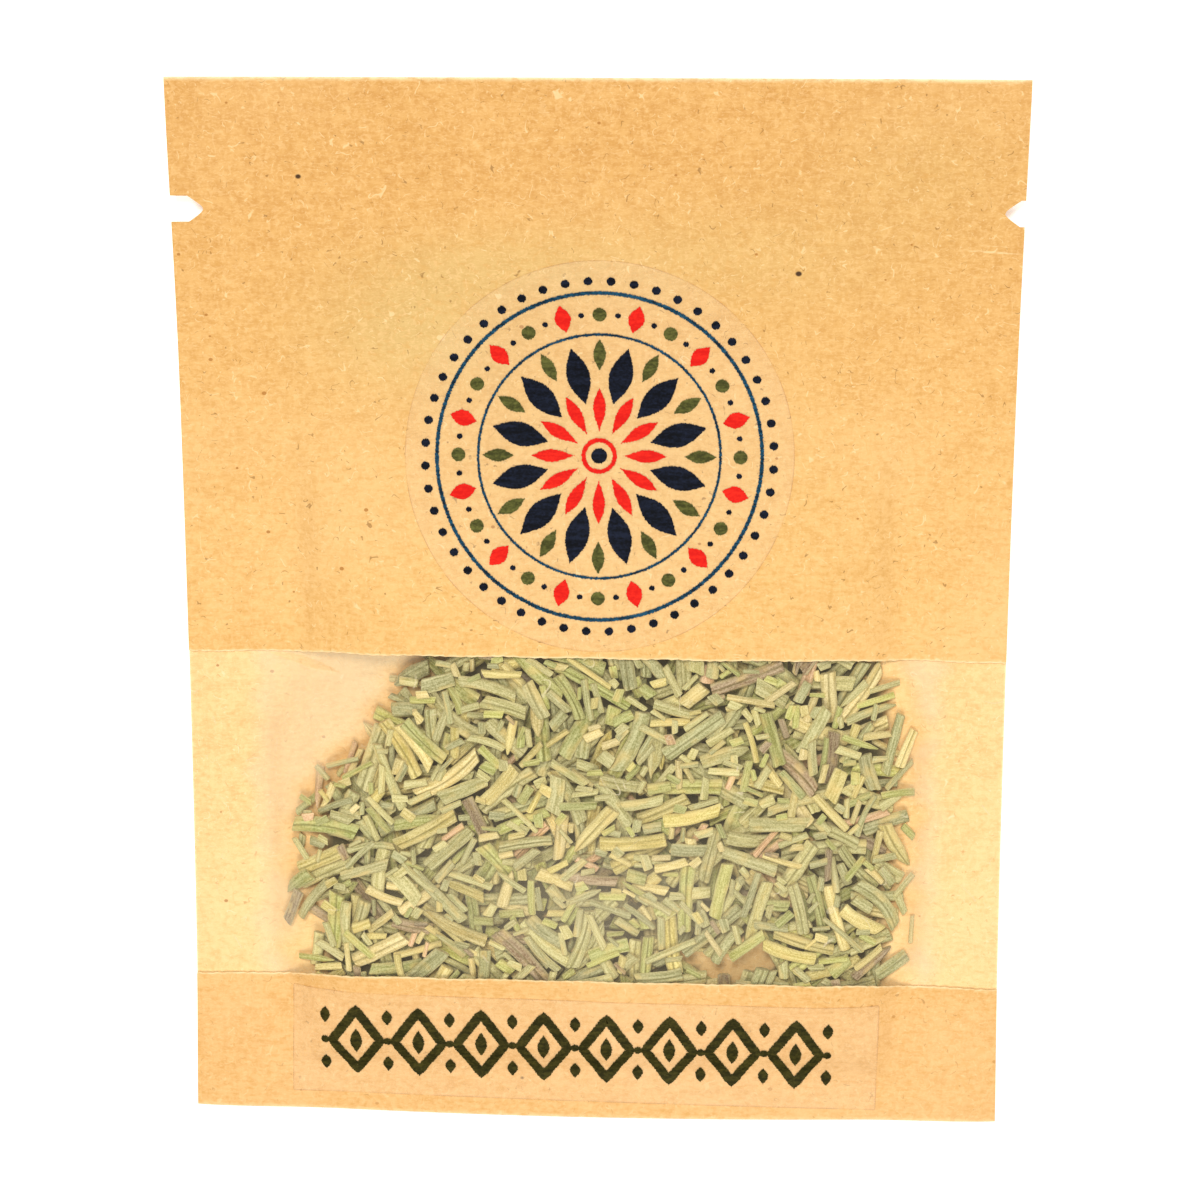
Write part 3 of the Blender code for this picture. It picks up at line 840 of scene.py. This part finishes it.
class InkPlate:
    def __init__(self):
        self.points = []
        self.faces = []
        self.inward = []  # from each point to the print's edge

    # A strip from one end to the other, or round and back to its start
    def strip(self, line, halves, closed=False):
        line, halves = np.asarray(line, float), np.asarray(halves, float)
        if closed:
            ahead = np.roll(line, -1, 0) - np.roll(line, 1, 0)
        else:
            ahead = np.gradient(line, axis=0)
        ahead = ahead / np.linalg.norm(ahead, axis=1)[:, None]
        side = np.stack([-ahead[:, 1], ahead[:, 0]], 1) * halves[:, None]
        base, rings = len(self.points), len(line)
        # Each ring goes across the underside and back across the top
        section = [(across, 0.0) for across in (-1, 0, 1)]
        section += [(across, webs["ink"]) for across in (1, 0, -1)]
        lanes = []
        for across, rise in section:
            spots = line + side * across
            lanes.append(np.column_stack([spots, inkUnder(*spots.T) + rise]))
        self.points += np.stack(lanes, 1).reshape(-1, 3).tolist()
        inward = [halves * (across == 0) for across, _ in section]
        self.inward += np.stack(inward, 1).ravel().tolist()
        self.faces += tubeFaces(rings, len(section), base, closed)
        if not closed:
            self.faces += endFaces(rings, len(section), base)

    # A leaf shape from one point to another, widest at the given share of its length
    def leaf(self, start, end, half, widest=0.45, steps=12):
        start, end = np.asarray(start), np.asarray(end)
        shares = np.linspace(0, 1, steps + 1)
        bent = shares ** (math.log(0.5) / math.log(widest))
        line = start + (end - start) * shares[:, None]
        self.strip(line, np.maximum(0.03, half * np.sin(math.pi * bent)))

    def dot(self, centre, radius, steps=10):
        angles = np.linspace(0, math.pi, steps + 1)
        line = np.asarray(centre) + np.stack([-radius * np.cos(angles), 0 * angles], 1)
        self.strip(line, np.maximum(0.02, radius * np.sin(angles)))

    def ring(self, centre, radius, half, steps=144):
        angles = np.arange(steps) / steps * math.tau
        line = np.asarray(centre) + radius * np.stack([np.cos(angles), np.sin(angles)], 1)
        self.strip(line, np.full(steps, half), closed=True)

    def make(self, name, ink):
        thing = meshObject(name, self.points, self.faces, [makeInk(ink)])
        storeValues(thing, "inward", self.inward)
        smooth(thing, 40)
        settle(thing, "clear_sticker")


# The round sticker's medallion: a plain geometric rosette in a beaded border
medallion = {
    "petals": 12,
    # Ink, from and to as radii, half width, widest at, and how far round from the spoke
    "leaves": [
        ("navy", 4.9, 10.3, 1.12, 0.50, 0.5),
        ("red", 11.8, 14.4, 0.78, 0.50, 0.5),
        ("red", 2.2, 6.3, 0.62, 0.55, 0.0),
        ("olive", 7.9, 10.9, 0.62, 0.50, 0.0),
    ],
    "rings": [("teal", 15.1, 0.21, 144), ("teal", 11.25, 0.16, 144), ("red", 1.45, 0.24, 48)],
    "beads": 48,
    "beadRadius": 0.42,
    "beadCircle": 16.2,
    "dotCircle": 13.1,
    "dotRadius": 0.66,
    "sideDots": (0.13, 0.28),  # angle from the dot, and radius
    "eye": 0.75,
}


def around(angle, radius):
    return roundCentre + radius * np.array([math.cos(angle), math.sin(angle)])


def makeMedallion():
    m = medallion
    inks = {name: InkPlate() for name in ("navy", "teal", "red", "olive")}
    navy, olive = inks["navy"], inks["olive"]
    for i in range(m["beads"]):
        navy.dot(around(math.tau * (i + 0.5) / m["beads"], m["beadCircle"]), m["beadRadius"])
    for i in range(m["petals"]):
        for ink, start, end, half, widest, turn in m["leaves"]:
            angle = math.tau * (i + turn) / m["petals"]
            inks[ink].leaf(around(angle, start), around(angle, end), half, widest)
        angle = math.tau * i / m["petals"]
        olive.dot(around(angle, m["dotCircle"]), m["dotRadius"])
        apart, radius = m["sideDots"]
        for side in (-apart, apart):
            navy.dot(around(angle + side, m["dotCircle"]), radius)
    for ink, radius, half, steps in m["rings"]:
        inks[ink].ring(roundCentre, radius, half, steps)
    navy.dot(roundCentre, m["eye"])
    for name, ink in inks.items():
        ink.make("medallion_ink_" + name, name)


# The long sticker's border: hollow lozenges with smaller solid ones between them
border = {
    "from": -25.2,
    "to": 23.6,
    "middle": 0.3,
    "lozenges": 8,
    "half": (2.35, 3.35),
    "stroke": 0.50,
    "heart": (1.35, 0.62, 10),  # half height, half width, steps
    "small": (0.85, 0.55, 8),
    "smallRise": 2.6,
    "dot": 0.42,
}


def makeBorder():
    ink = InkPlate()
    step = (border["to"] - border["from"]) / border["lozenges"]

    def spot(x, y):
        return turned([[x, y + border["middle"]]], longSticker["turn"])[0] + longCentre

    def lozenge(x, y, tall, half, steps):
        ink.leaf(spot(x, y - tall), spot(x, y + tall), half, 0.5, steps)

    wide, tall = border["half"]
    ends = [(wide, 0), (0, tall), (-wide, 0), (0, -tall)]
    for i in range(border["lozenges"]):
        middle = border["from"] + (i + 0.5) * step
        line = []
        for k in range(40):
            side, part = k // 10, k % 10 / 10
            a, b = ends[side], ends[(side + 1) % 4]
            line.append(spot(middle + a[0] + (b[0] - a[0]) * part, a[1] + (b[1] - a[1]) * part))
        ink.strip(line, [border["stroke"]] * len(line), closed=True)
        lozenge(middle, 0.0, *border["heart"])
    for i in range(border["lozenges"] + 1):
        middle = border["from"] + i * step
        for rise in (-border["smallRise"], border["smallRise"]):
            lozenge(middle, rise, *border["small"])
        ink.dot(spot(middle, 0.0), border["dot"])
    ink.make("border_ink", "dark_olive")


def makeStickers():
    material = makeSticker()
    makeRoundSticker(material)
    makeLongSticker(material)
    makeMedallion()
    makeBorder()
    print("stickers made")


# Rosemary: cut needles dropped one by one on what already lies there, under the film

herb = {
    "seed": 21,
    "cell": 0.2,
    "leftEdge": -29.7,
    "rightEdge": 31.4,
    "bottom": -42.6,
    "top": 3.0,
    "slopeFoot": -19.5,  # above it the heap's left side slants in
    "slopeRun": 0.80,
    "corner": -9.5,  # above it the heap's right side slants in a little
    "cornerRun": 0.22,
    "edgeDepth": 1.0,  # the heap thins to this at its sides
    "edgeSlope": 0.75,
    "clearance": 0.04,
    "sink": 0.18,  # how far one piece presses into those under it
    "inside": 0.84,  # least share of a piece that lies within the heap's bounds
    "choices": 12,
    "aligned": 0.7,  # share of the choices that follow the lie of the needles there
    "lieSpread": 0.28,
    "tilts": 19,
    "steepest": 0.42,
    "leastDepth": 0.5,
}

# Places where the back paper shows between the needles, as centre, half sizes
barePlaces = [
    (9.7, -33.5, 1.4, 0.9),
    (12.6, -34.5, 1.9, 1.5),
    (15.6, -33.5, 1.9, 1.3),
    (4.6, -34.6, 1.2, 0.6),
    (-28.2, -31.2, 1.9, 1.0),
]

# Half sections from the middle of a needle's top to its underside, as (across, height), both in
# shares of its half width and thickness
halfSections = {
    "ridged": [
        (0.0, 0.84), (0.09, 0.94), (0.28, 1.0), (0.62, 0.91),
        (0.88, 0.68), (1.0, 0.40), (0.80, 0.10), (0.4, 0.0),
    ],
    "rolled": [
        (0.0, 0.72), (0.20, 0.64), (0.34, 0.90), (0.62, 0.98),
        (0.88, 0.78), (1.0, 0.45), (0.78, 0.10), (0.3, 0.0),
    ],
    "smooth": [
        (0.0, 1.0), (0.32, 0.98), (0.64, 0.89), (0.88, 0.70), (1.0, 0.42), (0.76, 0.10), (0.3, 0.0),
    ],
    "flat": [
        (0.0, 1.0), (0.25, 0.88), (0.55, 0.94), (0.90, 0.80), (1.0, 0.45), (0.75, 0.05), (0.0, 0.0),
    ],
    "half": [(0.0, 1.0), (0.5, 0.93), (0.85, 0.68), (1.0, 0.32), (0.5, 0.0)],
    "round": [
        (0.0, 1.0), (0.5, 0.93), (0.87, 0.75), (1.0, 0.5), (0.87, 0.25), (0.5, 0.07), (0.0, 0.0),
    ],
}


def wholeSection(name):
    right = halfSections[name]
    left = [(-across, height) for across, height in reversed(right) if across > 0]
    return np.array(right + left)


# Kinds of cut piece: section, share, then least and most length, width and thickness
wholeKinds = [
    ("ridged", 0.30, (3.4, 8.4), (1.1, 1.6), (0.70, 0.95)),
    ("rolled", 0.22, (3.4, 8.2), (1.1, 1.6), (0.70, 0.90)),
    ("smooth", 0.24, (3.0, 7.4), (1.0, 1.5), (0.70, 0.95)),
    ("flat", 0.025, (2.4, 4.8), (1.3, 1.8), (0.45, 0.60)),
    ("half", 0.12, (1.8, 5.5), (0.55, 0.9), (0.45, 0.65)),
    ("round", 0.010, (2.0, 5.0), (0.6, 0.9), (0.55, 0.80)),
    ("smooth", 0.07, (1.2, 2.6), (0.9, 1.4), (0.6, 0.9)),
]
fillers = [
    ("ridged", 1.0, (3.2, 6.8), (0.95, 1.4), (0.50, 0.72)),
    ("smooth", 1.0, (2.8, 6.4), (0.9, 1.35), (0.48, 0.70)),
    ("rolled", 0.6, (2.8, 6.2), (0.95, 1.35), (0.50, 0.70)),
    ("half", 0.8, (1.8, 4.6), (0.55, 0.85), (0.36, 0.55)),
    ("smooth", 0.5, (1.2, 2.6), (0.6, 0.95), (0.42, 0.62)),
]
crumbs = [
    ("half", 1.0, (0.8, 2.0), (0.40, 0.65), (0.32, 0.45)),
    ("smooth", 1.0, (0.8, 1.6), (0.50, 0.75), (0.34, 0.50)),
    ("flat", 0.5, (0.9, 1.6), (0.7, 1.0), (0.26, 0.36)),
]
thinPieces = [
    ("smooth", 1.0, (1.8, 5.0), (0.8, 1.3), (0.36, 0.50)),
    ("ridged", 1.0, (2.2, 5.6), (0.9, 1.35), (0.40, 0.55)),
    ("half", 0.7, (1.2, 3.6), (0.45, 0.8), (0.32, 0.42)),
]

# Stages of the laying: kinds, drops, places looked at for each, and whether the deepest place
# or the barest is taken
stages = [
    (wholeKinds, 2600, 6, "deep"),
    (fillers, 1100, 40, "deep"),
    (thinPieces, 350, 40, "bare"),
    (crumbs, 500, 80, "deep"),
]

# Colours by group: share of the pieces, then two ends that a piece's colour lies between
palette = {
    "sage": (0.53, (0.360, 0.365, 0.150), (0.680, 0.600, 0.240)),
    "green": (0.20, (0.360, 0.395, 0.080), (0.590, 0.570, 0.120)),
    "straw": (0.21, (0.700, 0.560, 0.130), (0.900, 0.710, 0.320)),
    "stem": (0.015, (0.700, 0.370, 0.190), (0.880, 0.500, 0.290)),
    "dark": (0.045, (0.210, 0.105, 0.060), (0.390, 0.225, 0.125)),
}
brightness = (0.76, 1.16)


# How a needle's colour changes over it: towards each colour, by at most this share
needleLook = {
    "dark": (0.59, 0.57, 0.42),
    "pale": (0.33, (0.95, 0.86, 0.53)),
    "patch": (0.50, (0.76, 0.55, 0.19)),
    # painted shade in the groove along a needle's top
    "grooveShade": (0.46, (0.165, 0.14, 0.035)),
    # paler leaf margins, partly their own colour and partly a painted highlight on the rounded edges
    "paleMarginAndHighlight": (0.36, (0.88, 0.77, 0.38)),
    "cutFace": (0.60, (0.76, 0.64, 0.34)),
}


def makeHerbFinish(group):
    make = Recipe("rosemary_" + group)
    tint = make.attribute("tint", "Color")
    grooveShaded = make.attribute("tint", "Alpha")
    grain = make.attribute("grain", "Vector")
    across = abs(make.add("ShaderNodeSeparateXYZ", {}, {0: grain}, output=1))
    veins = make.noise(make.vector("MULTIPLY", grain, (0.30, 3.0, 1.0)), 1.0, 3, 0.6)
    felt = make.noise(make.vector("MULTIPLY", grain, (1.5, 1.2, 1.0)), 0.24, 3, 0.75)
    patch = make.noise(make.vector("MULTIPLY", grain, (0.5, 0.6, 1.0)), 1.2)
    darker = make.mix(1.0, tint, needleLook["dark"], "MULTIPLY")
    share, pale = needleLook["pale"]
    shade = (0.44 * veins + 0.56 * felt).between(0.36, 0.62)
    colour = make.mix(shade, darker, make.mix(share, tint, pale))
    masks = {
        "patch": patch.between(0.50, 0.72),
        # Painted shade along the middle of the needle's top
        "grooveShade": grooveShaded * across.between(0.26, 0.0),
        # Painted highlight and paler colour along the needle's edges
        "paleMarginAndHighlight": across.between(0.62, 1.0),
        "cutFace": make.attribute("cut"),
    }
    for name, mask in masks.items():
        share, towards = needleLook[name]
        colour = make.mix(mask * share, colour, towards)
    return make.finish(
        Base_Color=colour,
        Roughness=0.55 + 0.25 * felt,
        Normal=make.bump(0.3 * veins + 0.8 * felt, 0.09, 0.7),
        Specular_IOR_Level=0.2,
    )


# Heights of the heap so far, on a fine grid
class Heap:
    def __init__(self):
        cell = herb["cell"]
        self.x = np.arange(herb["leftEdge"] - 1, herb["rightEdge"] + 1, cell)
        self.y = np.arange(herb["bottom"] - 1, herb["top"] + 1, cell)
        x, y = np.meshgrid(self.x, self.y, indexing="ij")
        self.floor = backTop(x, y) + herb["clearance"]
        self.roof = filmUnder(x, y) - herb["clearance"]
        self.height = self.floor.copy()
        # Both sides are a little ragged
        left = heapLeft(y) + 0.9 * np.sin(y * 0.9) * np.sin(y * 0.37 + 1)
        right = heapRight(y) + 0.8 * np.sin(y * 0.8 + 2) * np.sin(y * 0.31)
        edgeward = herb["edgeDepth"] + herb["edgeSlope"] * np.minimum(x - left, right - x)
        self.roof = np.minimum(self.roof, self.floor + np.maximum(edgeward, herb["leastDepth"]))
        self.open = (x > left) & (x < right) & (y > herb["bottom"]) & (y < herb["top"])
        for away in fromBarePlaces(x, y):
            self.open &= away > 1
        self.places = np.argwhere(self.open)

    def cells(self, spots):
        i = np.rint((spots[:, 0] - self.x[0]) / herb["cell"]).astype(int)
        j = np.rint((spots[:, 1] - self.y[0]) / herb["cell"]).astype(int)
        return np.clip(i, 0, len(self.x) - 1), np.clip(j, 0, len(self.y) - 1)

    # Of a few random places, the one deepest below the film or the one least covered
    def hole(self, dice, looks, wanted):
        picks = [self.places[dice.randrange(len(self.places))] for _ in range(looks)]
        upper = self.roof if wanted == "deep" else self.floor
        i, j = max(picks, key=lambda p: upper[p[0], p[1]] - self.height[p[0], p[1]])
        return self.x[i], self.y[j]


def heapLeft(y):
    return herb["leftEdge"] + np.maximum(0.0, y - herb["slopeFoot"]) * herb["slopeRun"]


def heapRight(y):
    return herb["rightEdge"] - herb["cornerRun"] * np.maximum(0.0, y - herb["corner"])


class Needle:
    def __init__(self, kind, dice):
        section, _, length, width, thickness = kind
        self.section = section
        self.length = dice.triangular(length[0], length[1], length[0] * 0.55 + length[1] * 0.45)
        self.width = dice.uniform(*width)
        self.thickness = dice.uniform(*thickness)
        self.bend = dice.gauss(0, 0.026) if self.length > 3 else 0.0
        close = 0.65 * herb["cell"]  # so that no cell under it is missed when it is turned
        alongs = np.linspace(-0.5, 0.5, round(self.length / close) + 2) * self.length
        acrosses = np.linspace(-0.5, 0.5, round(self.width / close) + 2) * self.width
        s, t = np.meshgrid(alongs, acrosses, indexing="ij")
        self.s, self.t = s.ravel(), t.ravel()
        outward = abs(self.t) / (self.width / 2)
        self.top = self.thickness * (1 - 0.45 * outward**3)
        self.keel = self.thickness * 0.25 * outward**3  # its underside rises to its edges

    def sideways(self, s):
        return self.bend * (s * s - self.length**2 / 12)

    def spots(self, x, y, angle):
        t = self.t + self.sideways(self.s)
        c, n = math.cos(angle), math.sin(angle)
        return np.stack([x + self.s * c - t * n, y + self.s * n + t * c], 1)


# The lowest way that this needle can lie here, or None if it would touch the film
def restingPlace(heap, needle, x, y, angle):
    i, j = heap.cells(needle.spots(x, y, angle))
    if heap.open[i, j].mean() < herb["inside"]:
        return None
    below = heap.height[i, j] - needle.keel
    tilts = np.linspace(-herb["steepest"], herb["steepest"], herb["tilts"])
    heights = (below[None, :] - tilts[:, None] * needle.s[None, :]).max(1)
    best = int(heights.argmin())
    height, tilt = heights[best], tilts[best]
    face = height + tilt * needle.s + needle.top
    if (face > heap.roof[i, j]).any():
        return None
    hollow = (height + tilt * needle.s - below).mean()
    depth = (heap.roof[i, j] - heap.floor[i, j]).mean()
    filled = (height - heap.floor[i, j].mean()) / depth
    return filled + 0.8 * hollow, height, tilt, (x, y, angle), (i, j), face


# How the needles round a place tend to lie
def lieOfNeedles(x, y):
    return 1.9 * math.sin(0.20 * x + 0.10 * y) + 1.6 * math.cos(0.24 * y - 0.09 * x)


def dropNeedle(heap, kinds, looks, wanted, dice):
    kind = dice.choices(kinds, [kind[1] for kind in kinds])[0]
    needle = Needle(kind, dice)
    middle = heap.hole(dice, looks, wanted)
    lie = lieOfNeedles(*middle)
    reach = needle.length / 2
    found = []
    for choice in range(herb["choices"]):
        if choice < herb["choices"] * herb["aligned"]:
            angle = dice.gauss(lie, herb["lieSpread"])
        else:
            angle = dice.uniform(0, math.pi)
        slide = dice.uniform(-reach, reach)
        x = middle[0] + slide * math.cos(angle)
        y = middle[1] + slide * math.sin(angle)
        place = restingPlace(heap, needle, x, y, angle)
        if place:
            found.append(place)
    if not found:
        return None
    _, height, tilt, spot, (i, j), face = min(found, key=lambda place: place[0])
    np.maximum.at(heap.height, (i, j), face - herb["sink"])
    return needle, height, tilt, spot


def layNeedles():
    dice = random.Random(herb["seed"])
    heap = Heap()
    laid = []
    for kinds, drops, looks, wanted in stages:
        tries = [dropNeedle(heap, kinds, looks, wanted, dice) for _ in range(drops)]
        laid += [piece for piece in tries if piece]
    depth = (heap.roof - heap.height)[heap.open]
    deep = np.percentile(depth, 90)
    print("depth of the heap under the film: median %.2f, tenth %.2f" % (np.median(depth), deep))
    return laid, dice


# How a cut piece strays from a straight prism
piece = {
    "ringSpacing": 0.8,
    "wornEdge": 0.07,  # of its cut ends
    "wornShare": 0.86,
    "slant": 0.2,
    "tapers": [0.0, 0.0, 0.06, 0.14],
    "tipped": 0.12,  # share of the long ones that keep the leaf's tip
    "tippedOver": 3,
    "twist": 0.5,
    "arch": (-0.05, 0.03),
}


def needleMesh(needle, height, tilt, spot, dice):
    x, y, angle = spot
    section = wholeSection(needle.section)
    count = len(section)
    inner = max(3, round(needle.length / piece["ringSpacing"]) + 1)
    blunt = piece["wornEdge"] / needle.length
    shares = [0.0, *np.linspace(blunt, 1 - blunt, inner), 1.0]
    rings = len(shares)
    slants = [dice.gauss(0, piece["slant"]) * needle.width / 2 for _ in range(2)]
    taper = dice.choice(piece["tapers"])
    tipped = needle.length > piece["tippedOver"] and dice.random() < piece["tipped"]
    twist = dice.uniform(-piece["twist"], piece["twist"])
    arch = dice.uniform(*piece["arch"]) * needle.thickness
    phase = dice.uniform(0, 50)
    points = []
    grain = []
    for share in shares:
        s = (share - 0.5) * needle.length
        narrow = 1 + 0.04 * math.sin(1.9 * s + phase) + 0.02 * math.sin(5.3 * s + 2 * phase)
        narrow -= taper * share
        if tipped:
            narrow *= math.sqrt(max(0.04, 1 - max(0.0, (share - 0.5) / 0.5) ** 2.2))
        worn = piece["wornShare"] if share in (0.0, 1.0) else 1.0
        slant = slants[0] * (1 - share) ** 6 + slants[1] * share**6
        across = section[:, 0] * needle.width / 2 * narrow * worn
        up = (section[:, 1] - 0.5) * needle.thickness * (0.5 + 0.5 * narrow) * worn
        roll = twist * (share - 0.5)
        rolledAcross = across * math.cos(roll) - up * math.sin(roll)
        rolledUp = across * math.sin(roll) + up * math.cos(roll)
        along = s + slant * section[:, 0]
        t = rolledAcross + needle.sideways(s)
        c, n = math.cos(angle), math.sin(angle)
        lift = height + needle.thickness * 0.5 + arch * (1 - 4 * (share - 0.5) ** 2)
        z = lift + tilt * along + rolledUp
        points.append(np.stack([x + along * c - t * n, y + along * n + t * c, z], 1))
        grain.append(np.stack([along + phase, section[:, 0], np.full(count, phase)], 1))
    faces = tubeFaces(rings, count)
    last = rings * count
    ends = [points[0].mean(0), points[-1].mean(0)]
    points.append(np.array(ends))
    grain.append(np.array([[phase, 0.5, phase]] * 2))
    for k in range(count):
        following = (k + 1) % count
        faces.append((last, following, k))
        faces.append((last + 1, last - count + k, last - count + following))
    return np.concatenate(points), np.concatenate(grain), faces, 2 * count


def makeFilling():
    laid, dice = layNeedles()
    parts = ("points", "grain", "tint", "cut", "faces")
    groups = {name: {part: [] for part in parts} for name in palette}
    shares = [look[0] for look in palette.values()]
    for needle, height, tilt, spot in laid:
        if needle.section == "round":
            name = dice.choice(["stem", "stem", "stem", "dark"])
        else:
            name = dice.choices(list(palette), shares)[0]
        group = groups[name]
        points, grain, faces, capFaces = needleMesh(needle, height, tilt, spot, dice)
        base = sum(len(block) for block in group["points"])
        _, first, second = palette[name]
        share = dice.random()
        bright = dice.uniform(*brightness)
        # How much painted shade the groove along this section gets
        grooveShaded = {"ridged": 1.0, "rolled": 0.5}.get(needle.section, 0.0)
        tint = [bright * (a + (b - a) * share) for a, b in zip(first, second)] + [grooveShaded]
        group["points"].append(points)
        group["grain"].append(grain)
        group["tint"].append(np.tile(tint, (len(points), 1)))
        group["faces"] += [tuple(base + corner for corner in face) for face in faces]
        group["cut"] += [0.0] * (len(faces) - capFaces) + [1.0] * capFaces
    for name, group in groups.items():
        points = np.concatenate(group["points"])
        thing = meshObject("rosemary_" + name, points, group["faces"], [makeHerbFinish(name)])
        storeValues(thing, "grain", np.concatenate(group["grain"]), "FLOAT_VECTOR")
        storeValues(thing, "tint", np.concatenate(group["tint"]), "FLOAT_COLOR")
        storeValues(thing, "cut", group["cut"], "FLOAT", "FACE")
        smooth(thing, 48)
        settle(thing, "dried_rosemary", "rosemary_fill")
        print(name, "pieces:", len(group["points"]), "faces:", len(group["faces"]))
    print("filling made of", len(laid), "cut pieces")


# Studio

studio = {
    "sky": 0.46,
    "key": 2.7,
    "keyPlace": (-0.03, 0.30, 0.62),
    "keySize": 0.16,
    "fill": 0.66,
    "fillPlace": (0.02, -0.16, 0.36),
    "fillSize": 0.2,
    "floor": (0.93, 0.93, 0.92),
    "floorGlow": 0.35,
    "floorHalf": 3000.0,
    "skyColour": (1.0, 0.99, 0.97, 1.0),
}

view = {
    "place": (0.0136, 0.0606, 0.2575),
    "turn": (-12.91, 2.95, 0.10),
    "lens": 84.12,
    "sensor": 36.0,
}


def areaLight(name, power, place, size):
    lamp = bpy.data.lights.new(name, "AREA")
    lamp.shape = "DISK"
    lamp.energy = power
    lamp.size = size
    thing = bpy.data.objects.new(name, lamp)
    thing.location = place
    thing.rotation_euler = (-Vector(place)).to_track_quat("-Z", "Y").to_euler()
    bpy.context.scene.collection.objects.link(thing)


def makeStudio():
    world = bpy.data.worlds.new("studio")
    world.use_nodes = True
    sky = world.node_tree.nodes["Background"]
    sky.inputs["Color"].default_value = studio["skyColour"]
    sky.inputs["Strength"].default_value = studio["sky"]
    scene = bpy.context.scene
    scene.world = world
    scene.view_settings.view_transform = "Standard"
    areaLight("key_light", studio["key"], studio["keyPlace"], studio["keySize"])
    areaLight("fill_light", studio["fill"], studio["fillPlace"], studio["fillSize"])

    make = Recipe("studio_floor")
    glow = studio["floorGlow"]
    make.finish(
        Base_Color=studio["floor"],
        Roughness=0.9,
        Emission_Color=(1.0, 1.0, 1.0),
        Emission_Strength=glow,
    )
    half = studio["floorHalf"]
    corners = [(-half, -half, 0), (half, -half, 0), (half, half, 0), (-half, half, 0)]
    floor = meshObject("studio_floor", corners, [(0, 1, 2, 3)], [make.material])

    camera = bpy.data.cameras.new("camera")
    camera.lens = view["lens"]
    camera.sensor_width = view["sensor"]
    camera.clip_start = 0.01
    camera.clip_end = 20.0
    thing = bpy.data.objects.new("camera", camera)
    thing.location = view["place"]
    thing.rotation_euler = [math.radians(angle) for angle in view["turn"]]
    scene.collection.objects.link(thing)
    scene.camera = thing
    print("studio made")


makeStudio()
makePapers()
makeWindow()
makeStickers()
makeFilling()
